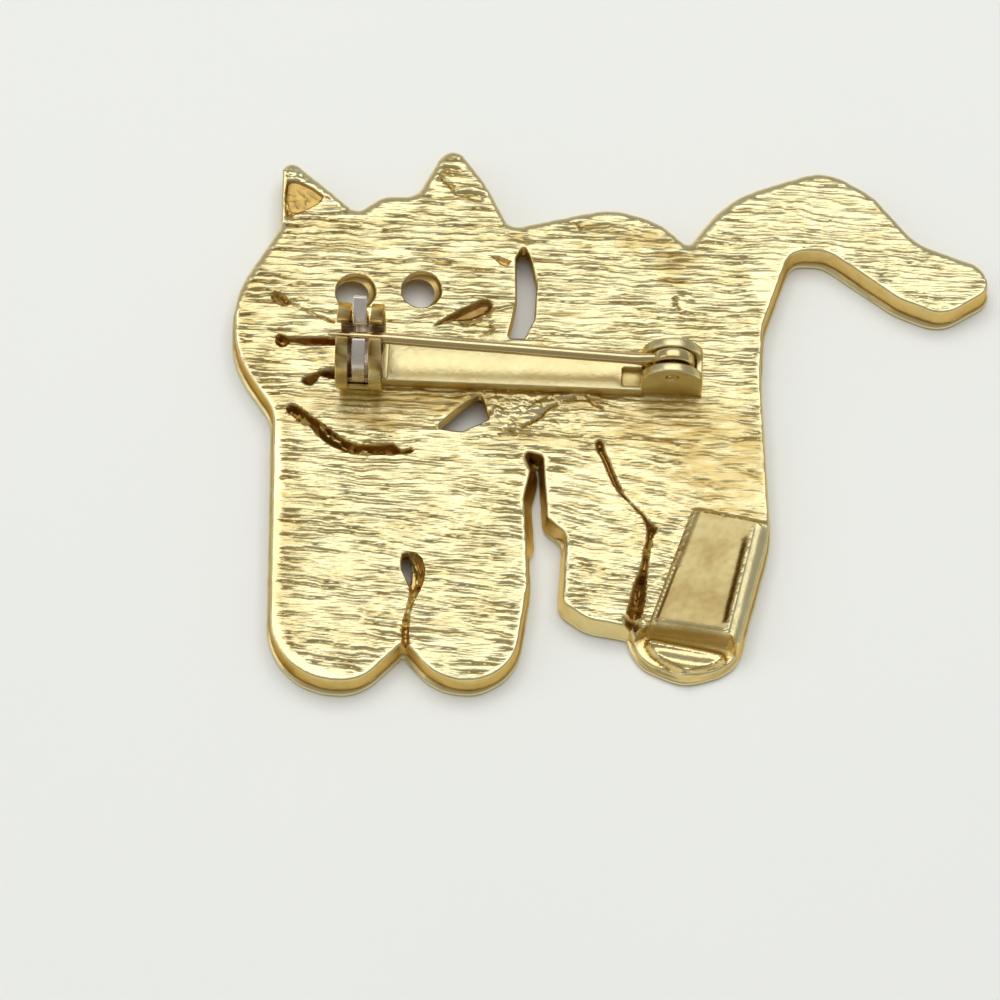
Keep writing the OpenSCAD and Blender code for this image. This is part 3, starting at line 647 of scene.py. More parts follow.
def addPlate(back, places):
    # tag plate, with its sloping side and the groove above it
    ring = spots(tagPlate["rows"])
    foot, right, top, left = (awayFrom(places, a, b) for a, b in zip(ring, np.roll(ring, -1, axis=0)))
    fall = np.clip(foot / (foot + top), 0, 1)
    plateTop = cat["thick"] + tagPlate["riseFoot"] + (tagPlate["riseTop"] - tagPlate["riseFoot"]) * fall
    gap = signedDistance(places, ring)
    # a groove runs along the top of the plate and on over the cat's edge, with painted shade in it
    groove = ridge(top, -0.14, 0.10) * smoothStep(-0.2, 0.3, left) * smoothStep(-2.0, -1.6, right)
    back["level"] = back["level"] - 0.16 * groove
    atLeast(back, tone=0.7 * groove)
    share = smoothStep(0.10, -0.05, signedDistance(places, spots(tagPlate["side"]), reach=1.0))
    out = np.clip(gap, 0, 1.6)
    slope = plateTop - 0.10 * out - 0.34 * smoothStep(0.25, 1.3, out) + grain("slope", right, foot)
    lay(back, share, level=slope, tone=0.10, amber=0.10)
    atLeast(back, plain=share, dull=0.45 * share)
    # two fine lines with beads along the left, a deep line along the right, ridges along the foot; the raised
    # ones get a painted highlight and the sunk ones painted shade
    share = smoothStep(0.05, -0.04, gap)
    pitch = tagPlate["beadPitch"]
    along = ((foot / pitch) % 1 - 0.5) * pitch
    beads = np.sqrt(np.clip(1 - (along / 0.17) ** 2 - ((left - 0.24) / 0.15) ** 2, 0, 1))
    engraved = ridge(right, 0.46 + grain("engraved", foot, 0 * foot), 0.08)
    marks = {
        "beads": beads * smoothStep(0.58, 0.50, fall) * smoothStep(0.25, 0.5, foot),
        "lines": ridge(left, 0.06, 0.05) + ridge(left, 0.43, 0.05),
        "engraved": engraved * smoothStep(0.8, 1.2, foot) * smoothStep(0.9, 2.0, top),
        "raised": ridge(right, 0.15, 0.11) * smoothStep(0.3, 0.6, top),
        "foot": (ridge(foot, 0.14, 0.09) + 0.8 * ridge(foot, 0.46, 0.07)) * smoothStep(0.1, 0.5, left),
    }
    level = plateTop + grain("plate", left, foot)
    tone = 0.66 - 0.15 * fall + grain("plateTone", left, foot)
    for key, (high, dark) in plateMarks.items():
        level = level + high * marks[key]
        tone = tone + dark * marks[key]
    lay(back, share, level=level, tone=np.clip(tone, 0, 1), amber=0)
    rubbed = np.clip(marks["foot"] + marks["raised"] + marks["beads"], 0, 1)
    atLeast(back, plain=share, dull=(0.85 - 0.5 * rubbed) * share)


def addHindPaw(back, places):
    # the ledge below the plate, with the faceted paw on it and painted shade along the foot of the paw's
    # raised lens
    gap = signedDistance(places, ringOf(tagPlate["ledge"], usual=0.08)[0], reach=1.0)
    gapLens = signedDistance(places, ringOf(tagPlate["lens"], usual=0.3)[0], reach=1.2)
    share = smoothStep(0.08, -0.12, gap)
    into = smoothStep(0.30, -0.02, gapLens)
    foot = awayFrom(places, *spots(tagPlate["rows"][:2])) + grain("facets", places[:, 0], places[:, 1])
    facets = tagPlate["facetHigh"] * np.cos(2 * math.pi * foot / tagPlate["facetPitch"])
    level = tagPlate["ledgeLevel"] + (tagPlate["lensLevel"] - tagPlate["ledgeLevel"]) * into
    level = level + 0.09 * ridge(gapLens, -0.05, 0.08) + facets * into
    brown = 0.6 * ridge(gapLens, 0.22, 0.16)
    brown = brown + 0.08 * smoothStep(0.15, -0.05, gap) * smoothStep(-0.3, -0.1, gap)
    lay(back, share, level=level, tone=brown, amber=np.clip(0.35 + 0.6 * brown, 0, 1))
    atLeast(back, plain=share)


def surfaceAt(places):
    # the back's level, and its wear and painted shade as tone, plainness, dullness and amber
    back = drawnBack(places)
    cutInto(back, places)
    addKnot(back, places)
    for key in ("tone", "amber"):
        back[key] = np.clip(back[key], 0, 1)
    addStrokes(back, places)
    addShadowsAndPatches(back, places)
    addPlate(back, places)
    addHindPaw(back, places)
    return back["level"], np.column_stack([back[key] for key in ("tone", "plain", "dull", "amber")])


def flangeShare(outward):
    # the flange shows most on the left and below
    return 0.5 + 0.5 * np.clip(-outward[:, 0] * 0.9 - outward[:, 1] * 0.5, 0, 1)


def shoulderWide(outward):
    high = np.clip(outward[:, 1], 0, 1)
    upperLeft = np.clip(-outward[:, 0], 0, 1) * np.clip(2 * high, 0, 1)
    return cat["shoulder"] + cat["topShoulder"] * high + cat["leftShoulder"] * upperLeft


def newMesh(name, corners, faces, wearAndShade, smoothAngle, outside=False):
    made = bpy.data.meshes.new(name)
    made.from_pydata([tuple(c) for c in corners], [], faces)
    made.update()
    if outside:
        shape = bmesh.new()
        shape.from_mesh(made)
        bmesh.ops.recalc_face_normals(shape, faces=shape.faces)
        shape.to_mesh(made)
        shape.free()
    # tone, plainness, dullness and amber at each point; the tone and amber paint shade as well as wear
    layer = made.color_attributes.new("wearAndShade", "FLOAT_COLOR", "POINT")
    layer.data.foreach_set("color", np.asarray(wearAndShade, dtype=np.float32).ravel())
    made.shade_smooth()
    made.set_sharp_from_angle(angle=math.radians(smoothAngle))
    piece = bpy.data.objects.new(name, made)
    bpy.context.collection.objects.link(piece)
    return piece


def closedEdges(start, count):
    return [(start + i, start + (i + 1) % count) for i in range(count)]


def capOf(rings):
    # triangles that fill the first ring and leave the others open
    places, edges, index = [], [], []
    for ring, ids in rings:
        edges += closedEdges(len(places), len(ring))
        places.extend(Vector(p) for p in ring.tolist())
        index.extend(ids)
    out = delaunay_2d_cdt(places, edges, [], 0, 1e-7, True)
    flat = np.array([[v.x, v.y] for v in out[0]])
    faces = np.array(out[2])
    centres = flat[faces].mean(axis=1)
    good = insideOf(centres, rings[0][0])
    for ring, _ in rings[1:]:
        good &= ~insideOf(centres, ring)
    return [tuple(index[out[3][i][0]] for i in f) for f in faces[good].tolist()]


def catRings():
    # the cat's edge and its openings, each with the top of its rounded rim
    shapes = [("outer", None, evenRing(edgePoints, edgeOutward))]
    for hole in openings.values():
        ring = ringOf(hole["rows"], hole.get("round", 0.2), step=20)
        shapes.append(("hole", hole["wall"], evenRing(*ring)))
    shapes += [("eye", None, circleRing(row, cat["eyeWide"])) for row in cat["eyes"]]
    rings = []
    for kind, wall, (points, outward) in shapes:
        out = -shoulderWide(outward) if kind == "outer" else np.full(len(points), cat["holeRound"])
        top = points + outward * out[:, None]
        rings.append({"kind": kind, "wall": wall, "points": points, "outward": outward, "top": top})
    return rings


def guideRings():
    # rings along the sides of the cuts and of the plate, so that their edges are crisp
    guides = []
    for cut in cuts.values():
        for out in (0.03, -cut["side"] * 0.45, -cut["side"]):
            points, outward = ringOf(cut["rows"], cutRound, step=24)
            guides.append(finer(points + outward * out, outward, 0.12)[0])
    for key, outs in tagPlate["guides"].items():
        for out in outs:
            points, outward = ringOf(tagPlate[key], usual=0.06, step=30)
            guides.append(finer(points + outward * out, outward, 0.13)[0])
    return guides


def isFree(places, rings, margin):
    # inside the cat, away from its edge and its openings
    good = signedDistance(places, rings[0]["top"], farReach) < -margin
    for ring in rings[1:]:
        good &= signedDistance(places, ring["top"], reach=0.6) > margin
    return good


def crowded(places, others, least):
    # true where a place has one of the others nearer than least
    tree = KDTree(len(others))
    for i, p in enumerate(others):
        tree.insert((p[0], p[1], 0), i)
    tree.balance()
    return np.array([tree.find((p[0], p[1], 0))[2] < least for p in places])


def spreadPoints():
    # points along the drawn lines, closer on the plate, the paw, the cuts, the knot and the left ear
    rng = np.random.default_rng(mesh["seed"])
    dx, dy = mesh["across"], mesh["up"]
    low, high = edgePoints.min(axis=0), edgePoints.max(axis=0)
    gx, gy = np.meshgrid(np.arange(low[0], high[0], dx), np.arange(low[1], high[1], dy))
    gx = gx + (np.arange(len(gx)) % 2)[:, None] * dx / 2
    points = np.stack([gx.ravel(), gy.ravel()], axis=1)
    points = points + (rng.random(points.shape) - 0.5) * np.array([dx, dy]) * 0.35
    alongPlate = ("rows", "beads")
    closer = [(tagPlate[key], *sizes, key in alongPlate) for key, sizes in tagPlate["spacing"].items()]
    closer += [(cut["rows"], 0.09, 0.09, False) for cut in cuts.values()]
    closer += [(rows, 0.09, 0.085, False) for rows in finerRows]
    for rows, across, along, slanted in closer:
        ring = spots(rows)
        toTop = (ring[-1] - ring[0]) if slanted else np.array([0.0, 1.0])
        toRight = (ring[1] - ring[0]) if slanted else np.array([1.0, 0.0])
        toTop, toRight = toTop / np.linalg.norm(toTop), toRight / np.linalg.norm(toRight)
        reach = np.ptp(ring, axis=0).max()
        a, b = np.meshgrid(np.arange(-reach, reach, across), np.arange(-reach, reach, along))
        dense = ring.mean(axis=0) + np.outer(a.ravel(), toRight) + np.outer(b.ravel(), toTop)
        points = np.vstack([points[~insideOf(points, ring)], dense[insideOf(dense, ring)]])
    return points


def backMesh(rings):
    # points and triangles of the flat back, and which of the points are each ring's
    places, edges = [], []
    for ring in rings:
        ring["start"] = len(places)
        edges += closedEdges(len(places), len(ring["top"]))
        places.extend(ring["top"].tolist())
    fixed = len(places)
    for guide in guideRings():
        good = isFree(guide, rings, margin=0.04)
        index = {}
        for i in np.flatnonzero(good).tolist():
            index[i] = len(places)
            places.append(guide[i].tolist())
        edges += [(index[i], index[j]) for i, j in closedEdges(0, len(guide)) if i in index and j in index]
    points = spreadPoints()
    points = points[isFree(points, rings, margin=0.06)]
    points = points[~crowded(points, np.array(places), mesh["least"])]
    places.extend(points.tolist())
    # squeezed along the lines, so that the triangles lie along them
    squeeze = np.array([mesh["up"] / mesh["across"], 1.0])
    vectors = [Vector(p) for p in (np.array(places) * squeeze).tolist()]
    out = delaunay_2d_cdt(vectors, edges, [], 0, 1e-6, True)
    flat = np.array([[v.x, v.y] for v in out[0]]) / squeeze
    index = {origin: i for i, origins in enumerate(out[3]) for origin in origins}
    faces = np.array(out[2])
    # only a triangle between ring points can lie outside the cat or in an opening
    onRing = np.zeros(len(flat), bool)
    onRing[[index[i] for i in range(fixed)]] = True
    doubtful = onRing[faces].all(axis=1)
    centres = flat[faces].mean(axis=1)[doubtful]
    good = insideOf(centres, rings[0]["top"])
    for ring in rings[1:]:
        good &= ~insideOf(centres, ring["top"])
    keep = np.ones(len(faces), bool)
    keep[doubtful] = good
    return flat, faces[keep], [[index[ring["start"] + i] for i in range(len(ring["top"]))] for ring in rings]


def buildCat():
    rings = catRings()
    flat, faces, ringIndex = backMesh(rings)
    level, look = surfaceAt(flat)
    print("back:", len(flat), "points", len(faces), "triangles")
    corners, wearAndShade = [np.column_stack([flat, level])], [look]
    allFaces = [tuple(f) for f in faces.tolist()]
    total = len(flat)
    front = []
    for ring, previous in zip(rings, ringIndex):
        count = len(previous)
        outer = ring["kind"] == "outer"
        rows = (outerRows if outer else openingRows)(ring, level[previous])
        for xy, z, tint, gold in rows:
            corners.append(np.column_stack([xy, z]))
            wearAndShade.append(np.column_stack([tint, np.ones(count), np.full(count, 0.35), gold]))
            current = list(range(total, total + count))
            total += count
            quads = [(previous[i], current[i], current[j], previous[j]) for i, j in closedEdges(0, count)]
            allFaces += quads if outer else [quad[::-1] for quad in quads]
            previous = current
        front.append((rows[-1][0], previous))
    allFaces += [f[::-1] for f in capOf(front)]
    return newMesh("catBack", np.vstack(corners) * mm, allFaces, np.vstack(wearAndShade), smoothAngle=38.0)


def edgeStyle(points, outward):
    values = {key: np.full(len(points), float(value)) for key, value in usualEdge.items()}
    x, y = points[:, 0], points[:, 1]
    for style in edgeStyles.values():
        x0, x1, y0, y1 = style["box"]
        share = smoothStep(x0 - 0.3, x0 + 0.1, x) * smoothStep(x1 + 0.3, x1 - 0.1, x)
        share = share * smoothStep(y0 - 0.5, y0 + 0.3, y) * smoothStep(y1 + 0.5, y1 - 0.3, y)
        if "faces" in style:
            share = share * smoothStep(0.0, 0.6, outward[:, 0] * style["faces"])
        lay(values, share, **{key: style[key] for key in values})
    return values["lip"], values["foot"], values["line"], values["shade"]


def wallAdder(ring, rows):
    # gives the length along the ring, and a function that adds one row of the wall with its tone and amber
    points, outward = ring["points"], ring["outward"]
    run = np.cumsum(np.linalg.norm(points - np.roll(points, 1, axis=0), axis=1))

    def add(out, z, tint, gold, shift=(0.0, 0.0)):
        out = out + grain("wallWobble", run, z)
        tint, gold = (np.clip(np.zeros(len(run)) + value, 0, 1) for value in (tint, gold))
        rows.append((points + outward * out[:, None] + np.array(shift), z, tint, gold))

    return run, add


def outerRows(ring, topLevel):
    # rows of the cat's outer wall from the back down to the front, over the flange
    rows = []
    run, add = wallAdder(ring, rows)
    outward = ring["outward"]
    radius = shoulderWide(outward)
    lip, foot, line, shade = edgeStyle(ring["points"], outward)
    share = flangeShare(outward) * lip
    drop = np.minimum(radius * 0.9, (topLevel - 0.62) * 0.6)
    high = np.clip(outward[:, 1], 0, 1)
    # the rounding browns towards the wall, more along the top edges: painted shade
    angles = (18, 36, 54, 72, 86)
    for degrees in angles:
        a = math.radians(degrees)
        brown = (degrees / angles[-1]) ** 2
        tint = 0.04 + (0.22 * np.clip(shade, 1, 3) + 0.2 * high) * brown
        add(-radius + radius * math.sin(a), topLevel - drop * (1 - math.cos(a)), tint, 0.4 * brown)
    start = topLevel - drop
    shown = np.clip(shade, 0, 1)
    # the wall's brown and amber are painted shade, scaled by the edge style, with random mottling
    for part in (0.06, 0.3, 0.55, 0.8, 1.0):
        mottle = grain("wallTone", run, part + 0 * run)
        dent = grain("wallDent", run, part + 0 * run) * (part < 1)
        tint = (0.30 + 0.12 * part) * shade + mottle * shown * np.clip(2 - shade, 0.35, 1)
        z = start + (cat["lineLevel"] + 0.06 - start) * part
        add(foot * part + dent, z, tint, (0.62 - mottle) * shown)
    roll = grain("flangeRoll", run, 0 * run)
    # painted shade in the line above the lip
    add(foot - 0.05 * line + 0.02, cat["lineLevel"] + roll, 0.30 + 0.6 * line, 0.5)
    for out, z, tint in flangeRows:
        upper = roll * (z > 0.3)
        below = foot * (1 - share) * (0.3 + 0.7 * smoothStep(0.0, 0.3, z))
        add(below + (out + 0.4 * upper) * share, z + upper, tint, 0.25)
    return rows


def openingRows(ring, topLevel):
    # rows of an opening's wall from the back down to the front, with painted shade down the wall and painted
    # highlights on its lips
    rows = []
    run, add = wallAdder(ring, rows)
    radius, wall = cat["holeRound"], ring["wall"]
    for degrees in (35, 70, 88):
        a = math.radians(degrees)
        out = np.full(len(run), radius - radius * math.sin(a))
        add(out, topLevel - radius * (1 - math.cos(a)), 0.15, 0.3)
    if ring["kind"] == "eye":
        nominal = eyeRows
    elif wall < cat["thick"]:
        foot = cat["thick"] - wall
        nominal = [(0.0, foot + wall * 0.55, 0.6), (0.0, foot + wall * 0.25, 0.7), (-0.04, foot + 0.06, 0.1),
                   (-0.05, foot, 0.1), (0.0, foot - 0.05, 0.5), (0.35, foot - 0.10, 0.8),
                   (0.52, min(foot - 0.2, 0.8), 0.8), (0.55, 0.4, 0.8), (0.55, 0.0, 0.8)]
    else:
        nominal = straightRows
    level = topLevel - 0.10
    for out, z, tint, *lean in nominal:
        level = np.minimum(np.full(len(run), z), level - 0.02) if z > 0 else np.zeros(len(run))
        add(np.full(len(run), out), level, tint, 0.7, np.array(cat["eyeLean"]) * (lean[0] if lean else 0))
    return rows


# the bar-pin finding soldered across the back: sizes in mm, its own across, along and up
finding = {
    "at": (-6.508, 2.651),
    "turn": -2.6,
    "back": 2.4,
    "hingeAcross": 10.565,
    "rivetUp": 5.0,
    "catchUp": 5.4,
    "catchFrom": -12.7,
    "catchTo": -9.55,
}


def onFinding(places):
    # from the finding's own frame to the brooch's
    c, s = math.cos(math.radians(finding["turn"])), math.sin(math.radians(finding["turn"]))
    x, y, z = places[:, 0], places[:, 1], places[:, 2]
    return np.column_stack([finding["at"][0] + x * c - y * s, finding["at"][1] + x * s + y * c, z])


def softened(outline, radius, step=15.0):
    # closed outline with its corners rounded, counter-clockwise
    points = np.array(outline, float)
    made = []
    for i, b in enumerate(points):
        a, c = points[i - 1], points[(i + 1) % len(points)]
        turn = abs(turnAt(a, b, c))
        if turn < math.radians(20):
            made.append(b)
            continue
        room = 0.45 * min(np.linalg.norm(b - a), np.linalg.norm(c - b)) / max(math.tan(turn / 2), 1e-6)
        made += roundCorner(a, b, c, min(radius, room), step)[0]
    return np.array(made)


def spaced(ring, spacing):
    made = []
    for a, b in zip(ring, np.roll(ring, -1, axis=0)):
        parts = max(1, math.ceil(np.linalg.norm(b - a) / spacing))
        made.extend(a + (b - a) * k / parts for k in range(parts))
    return np.array(made)


def arc(centre, radius, start, end, steps):
    a = np.radians(np.linspace(start, end, steps + 1))
    return [(centre[0] + radius * math.cos(t), centre[1] + radius * math.sin(t)) for t in a]


def box(left, low, right, high):
    return [(left, low), (right, low), (right, high), (left, high)]


def outwardOf(ring):
    # outward direction at each point of a counter-clockwise ring
    d = np.roll(ring, -1, axis=0) - ring
    d = d / np.maximum(np.linalg.norm(d, axis=1), 1e-9)[:, None]
    n = np.column_stack([d[:, 1], -d[:, 0]])
    m = n + np.roll(n, 1, axis=0)
    length = np.maximum(np.linalg.norm(m, axis=1), 0.35)
    return m / length[:, None] * np.minimum(2 / length, 1.6)[:, None]


def quadsBetween(lower, upper, count):
    # quads between two closed rows of points that start at lower and at upper
    return [(lower + i, lower + j, upper + j, upper + i) for i, j in closedEdges(0, count)]


def slab(outline, low, high, axis, soft=0.1, holes=(), wobble=0.0):
    # an outline with thickness and rounded rims; axis names what the thickness runs along
    rings = [np.array(ring, float) for ring in (outline, *holes)]
    corners, faces, ends = [], [], ([], [])
    total = 0
    tall = high - low
    body = max(1, round((tall - 2 * soft) / 0.7))
    angles = [math.radians(a) for a in (0, 30, 60)]
    rim = [(soft * (1 - math.cos(a)), soft * (1 - math.sin(a))) for a in angles]
    rows = rim + [(soft + (tall - 2 * soft) * k / body, 0.0) for k in range(body + 1)]
    rows += [(tall - level, inset) for level, inset in reversed(rim)]
    for ring in rings:
        outward = outwardOf(ring) if ring is rings[0] else -outwardOf(ring)
        count = len(ring)
        for k, (level, inset) in enumerate(rows):
            corners.append(np.column_stack([ring - outward * inset, np.full(count, low + level)]))
            if k:
                faces += quadsBetween(total - count, total, count)
            if k in (0, len(rows) - 1):
                ends[k > 0].append((ring - outward * inset, list(range(total, total + count))))
            total += count
    faces.extend(f[::-1] for f in capOf(ends[0]))
    faces.extend(capOf(ends[1]))
    order = {"x": [2, 0, 1], "y": [0, 2, 1], "z": [0, 1, 2]}[axis]
    made = np.vstack(corners)[:, order]
    if wobble:
        for k in range(3):
            a, b = made[:, (k + 1) % 3], made[:, (k + 2) % 3]
            made[:, k] += wobble * waves(a / 0.9 + 3.1 * k, b / 0.9 + 5.7 * k, 81 + k)
    return made, faces


def turnedRing(profile, centre, steps=48):
    # a closed profile (out, along) turned about a line along y
    corners, faces = [], []
    count = len(profile)
    for s in range(steps):
        a = 2 * math.pi * s / steps
        corners += [(centre[0] + r * math.cos(a), along, centre[1] + r * math.sin(a)) for r, along in profile]
        faces += quadsBetween(s * count, (s + 1) % steps * count, count)
    return np.array(corners), faces


def loft(rows):
    # rows of equal rings, closed at both ends with a fan
    count = len(rows[0])
    last = (len(rows) - 1) * count
    faces = []
    for start in range(0, last, count):
        faces += quadsBetween(start, start + count, count)
    fan = len(rows) * count
    for i, j in closedEdges(0, count):
        faces += [(fan, j, i), (fan + 1, last + i, last + j)]
    return np.vstack([*rows, rows[0].mean(axis=0), rows[-1].mean(axis=0)]), faces


def mound(at, half, foot, tall, seed, steps=28):
    # a low rounded lump
    rows = []
    a = np.linspace(0, 2 * math.pi, steps, endpoint=False)
    for k in range(9):
        t = math.pi / 2 * k / 9
        r = math.cos(t) * (1 + 0.10 * waves(np.cos(a) * 1.3 + seed, np.sin(a) * 1.3 + k * 0.2, seed))
        x, y = at[0] + half[0] * r * np.cos(a), at[1] + half[1] * r * np.sin(a)
        z = foot + tall * math.sin(t) * (1 + 0.08 * waves(x * 2, y * 2, seed + 1))
        rows.append(np.column_stack([x, y, z]))
    return loft(rows)


def joined(parts):
    corners, faces, total = [], [], 0
    for c, f in parts:
        corners.append(c)
        faces.extend(tuple(i + total for i in face) for face in f)
        total += len(c)
    return np.vstack(corners), faces


def findingPiece(name, parts, body, nodes, shadeOf):
    # places the parts on the brooch, with painted shade, brown and amber, close to the cat's back and in its
    # corners, and brown patches at random
    corners, faces = joined(parts)
    x, y, z = corners.T
    low = smoothStep(finding["back"] + 0.55, finding["back"] - 0.1, z)
    patch = smoothStep(0.1, 0.9, waves(x / 1.1 + 7, z / 0.7 + y / 0.9, 91))
    shade = shadeOf(corners)
    tone = np.clip(shade + 0.55 * low + 0.25 * patch * (0.3 + low), 0, 1)
    amber = 0.5 * low
    if name != "findingBar":
        amber = amber + 0.35 * patch + 0.6 * smoothStep(0.3, 0.6, shade)
    wearAndShade = np.column_stack([tone, np.ones(len(tone)), 0.25 + 0.5 * low, np.clip(amber, 0, 1)])
    piece = newMesh(name, onFinding(corners) * mm, faces, wearAndShade, smoothAngle=35.0, outside=True)
    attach(piece, body)
    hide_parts(*nodes)
    return piece


# the notch is cut into the hinge's end; off is its distance from the bar's lower side
bar = {"wide": 3.0, "top": 3.3, "foot": 2.2, "from": -9.75, "to": 8.6, "end": 8.43,
       "notchDeep": 1.3, "notchWide": 1.4, "notchOff": 0.35, "footTop": 2.72, "rib": (-9.62, -9.22)}


def buildBar():
    half = bar["wide"] / 2
    inner = bar["end"] - bar["notchDeep"]
    notchLow = -half + bar["notchOff"]
    notchHigh = notchLow + bar["notchWide"]
    outline = [(bar["from"], -half), (bar["to"], -half), (bar["to"], notchLow), (inner, notchLow),
               (inner, notchHigh), (bar["to"], notchHigh), (bar["to"], half), (bar["from"], half)]
    top = slab(spaced(softened(outline, 0.18), 0.4), bar["foot"], bar["top"], "z", soft=0.10, wobble=0.012)
    footLine = softened(box(inner - 0.2, -half + 0.2, bar["to"], half - 0.2), 0.16)
    foot = slab(footLine, bar["foot"], bar["footTop"], "z", soft=0.08, wobble=0.02)
    # upset end of the bar beside the catch
    ribLine = softened(box(bar["rib"][0], -half + 0.08, bar["rib"][1], half - 0.1), 0.16)
    rib = slab(ribLine, 2.6, bar["top"] + 0.10, "z", soft=0.09, wobble=0.01)
    # solder that ran out at the bar's edge
    blob = mound(at=(7.7, -1.15), half=(0.95, 0.42), foot=2.1, tall=0.75, seed=5)
    return [top, foot, rib, blob]


cheek = {"long": 4.27, "top": 6.2, "thick": 0.7, "wide": 2.6, "web": 0.5, "hole": 0.43, "floorTop": 2.8}


def buildCheeks():
    at = finding["hingeAcross"]
    crown = cheek["long"] / 2
    level = cheek["top"] - crown
    foot = finding["back"] - 0.25
    outline = [(at - crown, foot), (at + crown, foot)] + arc((at, level), crown, 0, 180, 36)
    outline = spaced(np.array(outline), 0.35)
    hole = arc((at, finding["rivetUp"]), cheek["hole"], 0, 360, 24)[:-1]
    half = cheek["wide"] / 2
    parts = []
    for low, high in ((-half, -half + cheek["thick"]), (half - cheek["thick"], half)):
        parts.append(slab(outline, low, high, "y", soft=0.13, holes=(hole,), wobble=0.012))
    inner = half - cheek["thick"] + 0.05
    web = box(at + crown - cheek["web"], foot, at + crown - 0.03, level + 0.3)
    parts.append(slab(softened(web, 0.12), -inner, inner, "y", soft=0.02))
    floor = box(at - crown + 0.05, foot, at + crown - 0.3, cheek["floorTop"])
    parts.append(slab(softened(floor, 0.1), -inner, inner, "y", soft=0.02))
    return parts


# the ring's gap runs from -slot to +far across the finding
catch = {"out": 3.0, "wall": 0.45, "ring": 0.85, "slot": 0.675, "far": 0.45, "saddleTop": 4.1}


def gutter(outer, inner, low, steps):
    # outline of the lower part of a tube about the catch's axis, up to low degrees below the axis
    centre = (0, finding["catchUp"])
    outline = arc(centre, outer, 180 + low, 360 - low, steps)
    return outline + arc(centre, inner, 360 - low - 1, 180 + low + 1, steps)


def degreesAt(off, radius):
    # the angle at which a circle is that far off its own axis
    return math.degrees(math.asin(off / radius))


def buildCatch():
    # outlines are (across the finding, up), with the thickness along it
    up, outer = finding["catchUp"], catch["out"]
    inner = outer - catch["wall"]
    near, far = [[degreesAt(catch[side], radius) for radius in (outer, inner)] for side in ("slot", "far")]
    outline = arc((0, up), outer, 90 + near[0], 450 - far[0], 60)
    outline += arc((0, up), inner, 450 - far[1], 90 + near[1], 54)
    outline = softened(outline, 0.14)
    a, b, long = finding["catchFrom"], finding["catchTo"], catch["ring"]
    parts = [slab(outline, low, low + long, "x", soft=0.09, wobble=0.03) for low in (a, b - long)]
    saddle = gutter(outer - 0.04, inner + 0.03, degreesAt(up - catch["saddleTop"], outer), 30)
    parts.append(slab(softened(saddle, 0.12), a + 0.3, b - 0.3, "x", soft=0.05, wobble=0.01))
    return parts


stem = {"wire": 0.4, "rise": 5.2, "eye": 1.5, "eyeThick": 0.43, "eyeRound": 0.22, "hole": 0.43,
        "neck": 2.4, "point": 20.0, "tip": 24.0}


def buildStem():
    at, up = finding["hingeAcross"], finding["rivetUp"]
    t, soft = stem["eyeThick"], stem["eyeRound"]
    shoulder = stem["eye"] - soft
    rim = [(stem["hole"], -t + 0.1), (stem["hole"] + 0.08, -t), (shoulder, -t)]
    rim += [(shoulder + soft * math.sin(a), -t + soft * (1 - math.cos(a))) for a in (0.5, 1.0, 1.45)]
    rim += [(r, -along) for r, along in reversed(rim)]
    rise = math.radians(stem["rise"])
    along = np.array([-math.cos(rise), 0, math.sin(rise)])
    raised = np.array([math.sin(rise), 0, math.cos(rise)])
    side = np.array([0, 1.0, 0])
    a = np.linspace(0, 2 * math.pi, 24, endpoint=False)
    neckEnd = stem["neck"] + 0.6
    # wire rows: down the flattened neck, along the wire, and along the point
    stations = [*np.linspace(1.0, neckEnd, 9), *np.linspace(neckEnd + 0.5, stem["point"], 34),
                *np.linspace(stem["point"] + 0.3, stem["tip"] - 0.1, 14), stem["tip"] - 0.03, stem["tip"]]
    rows = []
    for s in stations:
        flat = smoothStep(neckEnd, 1.0, s)
        pointed = np.clip((s - stem["point"]) / (stem["tip"] - stem["point"]), 0, 1)
        half = stem["wire"] * (1 - 0.72 * pointed ** 1.15)
        if s > stem["tip"] - 0.05:
            half = half * (0.75 if s < stem["tip"] else 0.35)
        tall = half * (1 + 0.75 * flat)
        sag = 0.015 * math.sin(s * 0.7) * smoothStep(stem["neck"], stem["neck"] + 3, s)
        centre = np.array([at, 0, up]) + along * s + raised * sag
        rows.append(centre + np.outer(np.cos(a) * half, side) + np.outer(np.sin(a) * tall, raised))
    return [turnedRing(rim, (at, up)), loft(rows)]


# the rivet's domed ends: radius, and how far they stand out of the cheek
rivetEnd = [(0.10, -0.09), (0.20, -0.05), (0.30, 0.03), (0.37, 0.02), (0.4, -0.05)]


def buildRivet():
    at, up = finding["hingeAcross"], finding["rivetUp"]
    half = cheek["wide"] / 2
    shank = rivetEnd[-1][0]
    profile = [(r, half + out) for r, out in rivetEnd] + [(shank, 0.4), (shank, -0.4)]
    profile += [(r, -half - out) for r, out in reversed(rivetEnd)]
    a = np.linspace(0, 2 * math.pi, 24, endpoint=False)
    rows = [np.column_stack([at + r * np.cos(a), np.full(len(a), y), up + r * np.sin(a)]) for r, y in profile]
    return [loft(rows)]


sleeve = {"out": 2.5, "wall": 0.35, "wide": 0.9, "slot": 1.1, "tab": 1.7, "tilt": 35.0, "lowTop": 4.5,
          "middle": (finding["catchFrom"] + finding["catchTo"]) / 2}


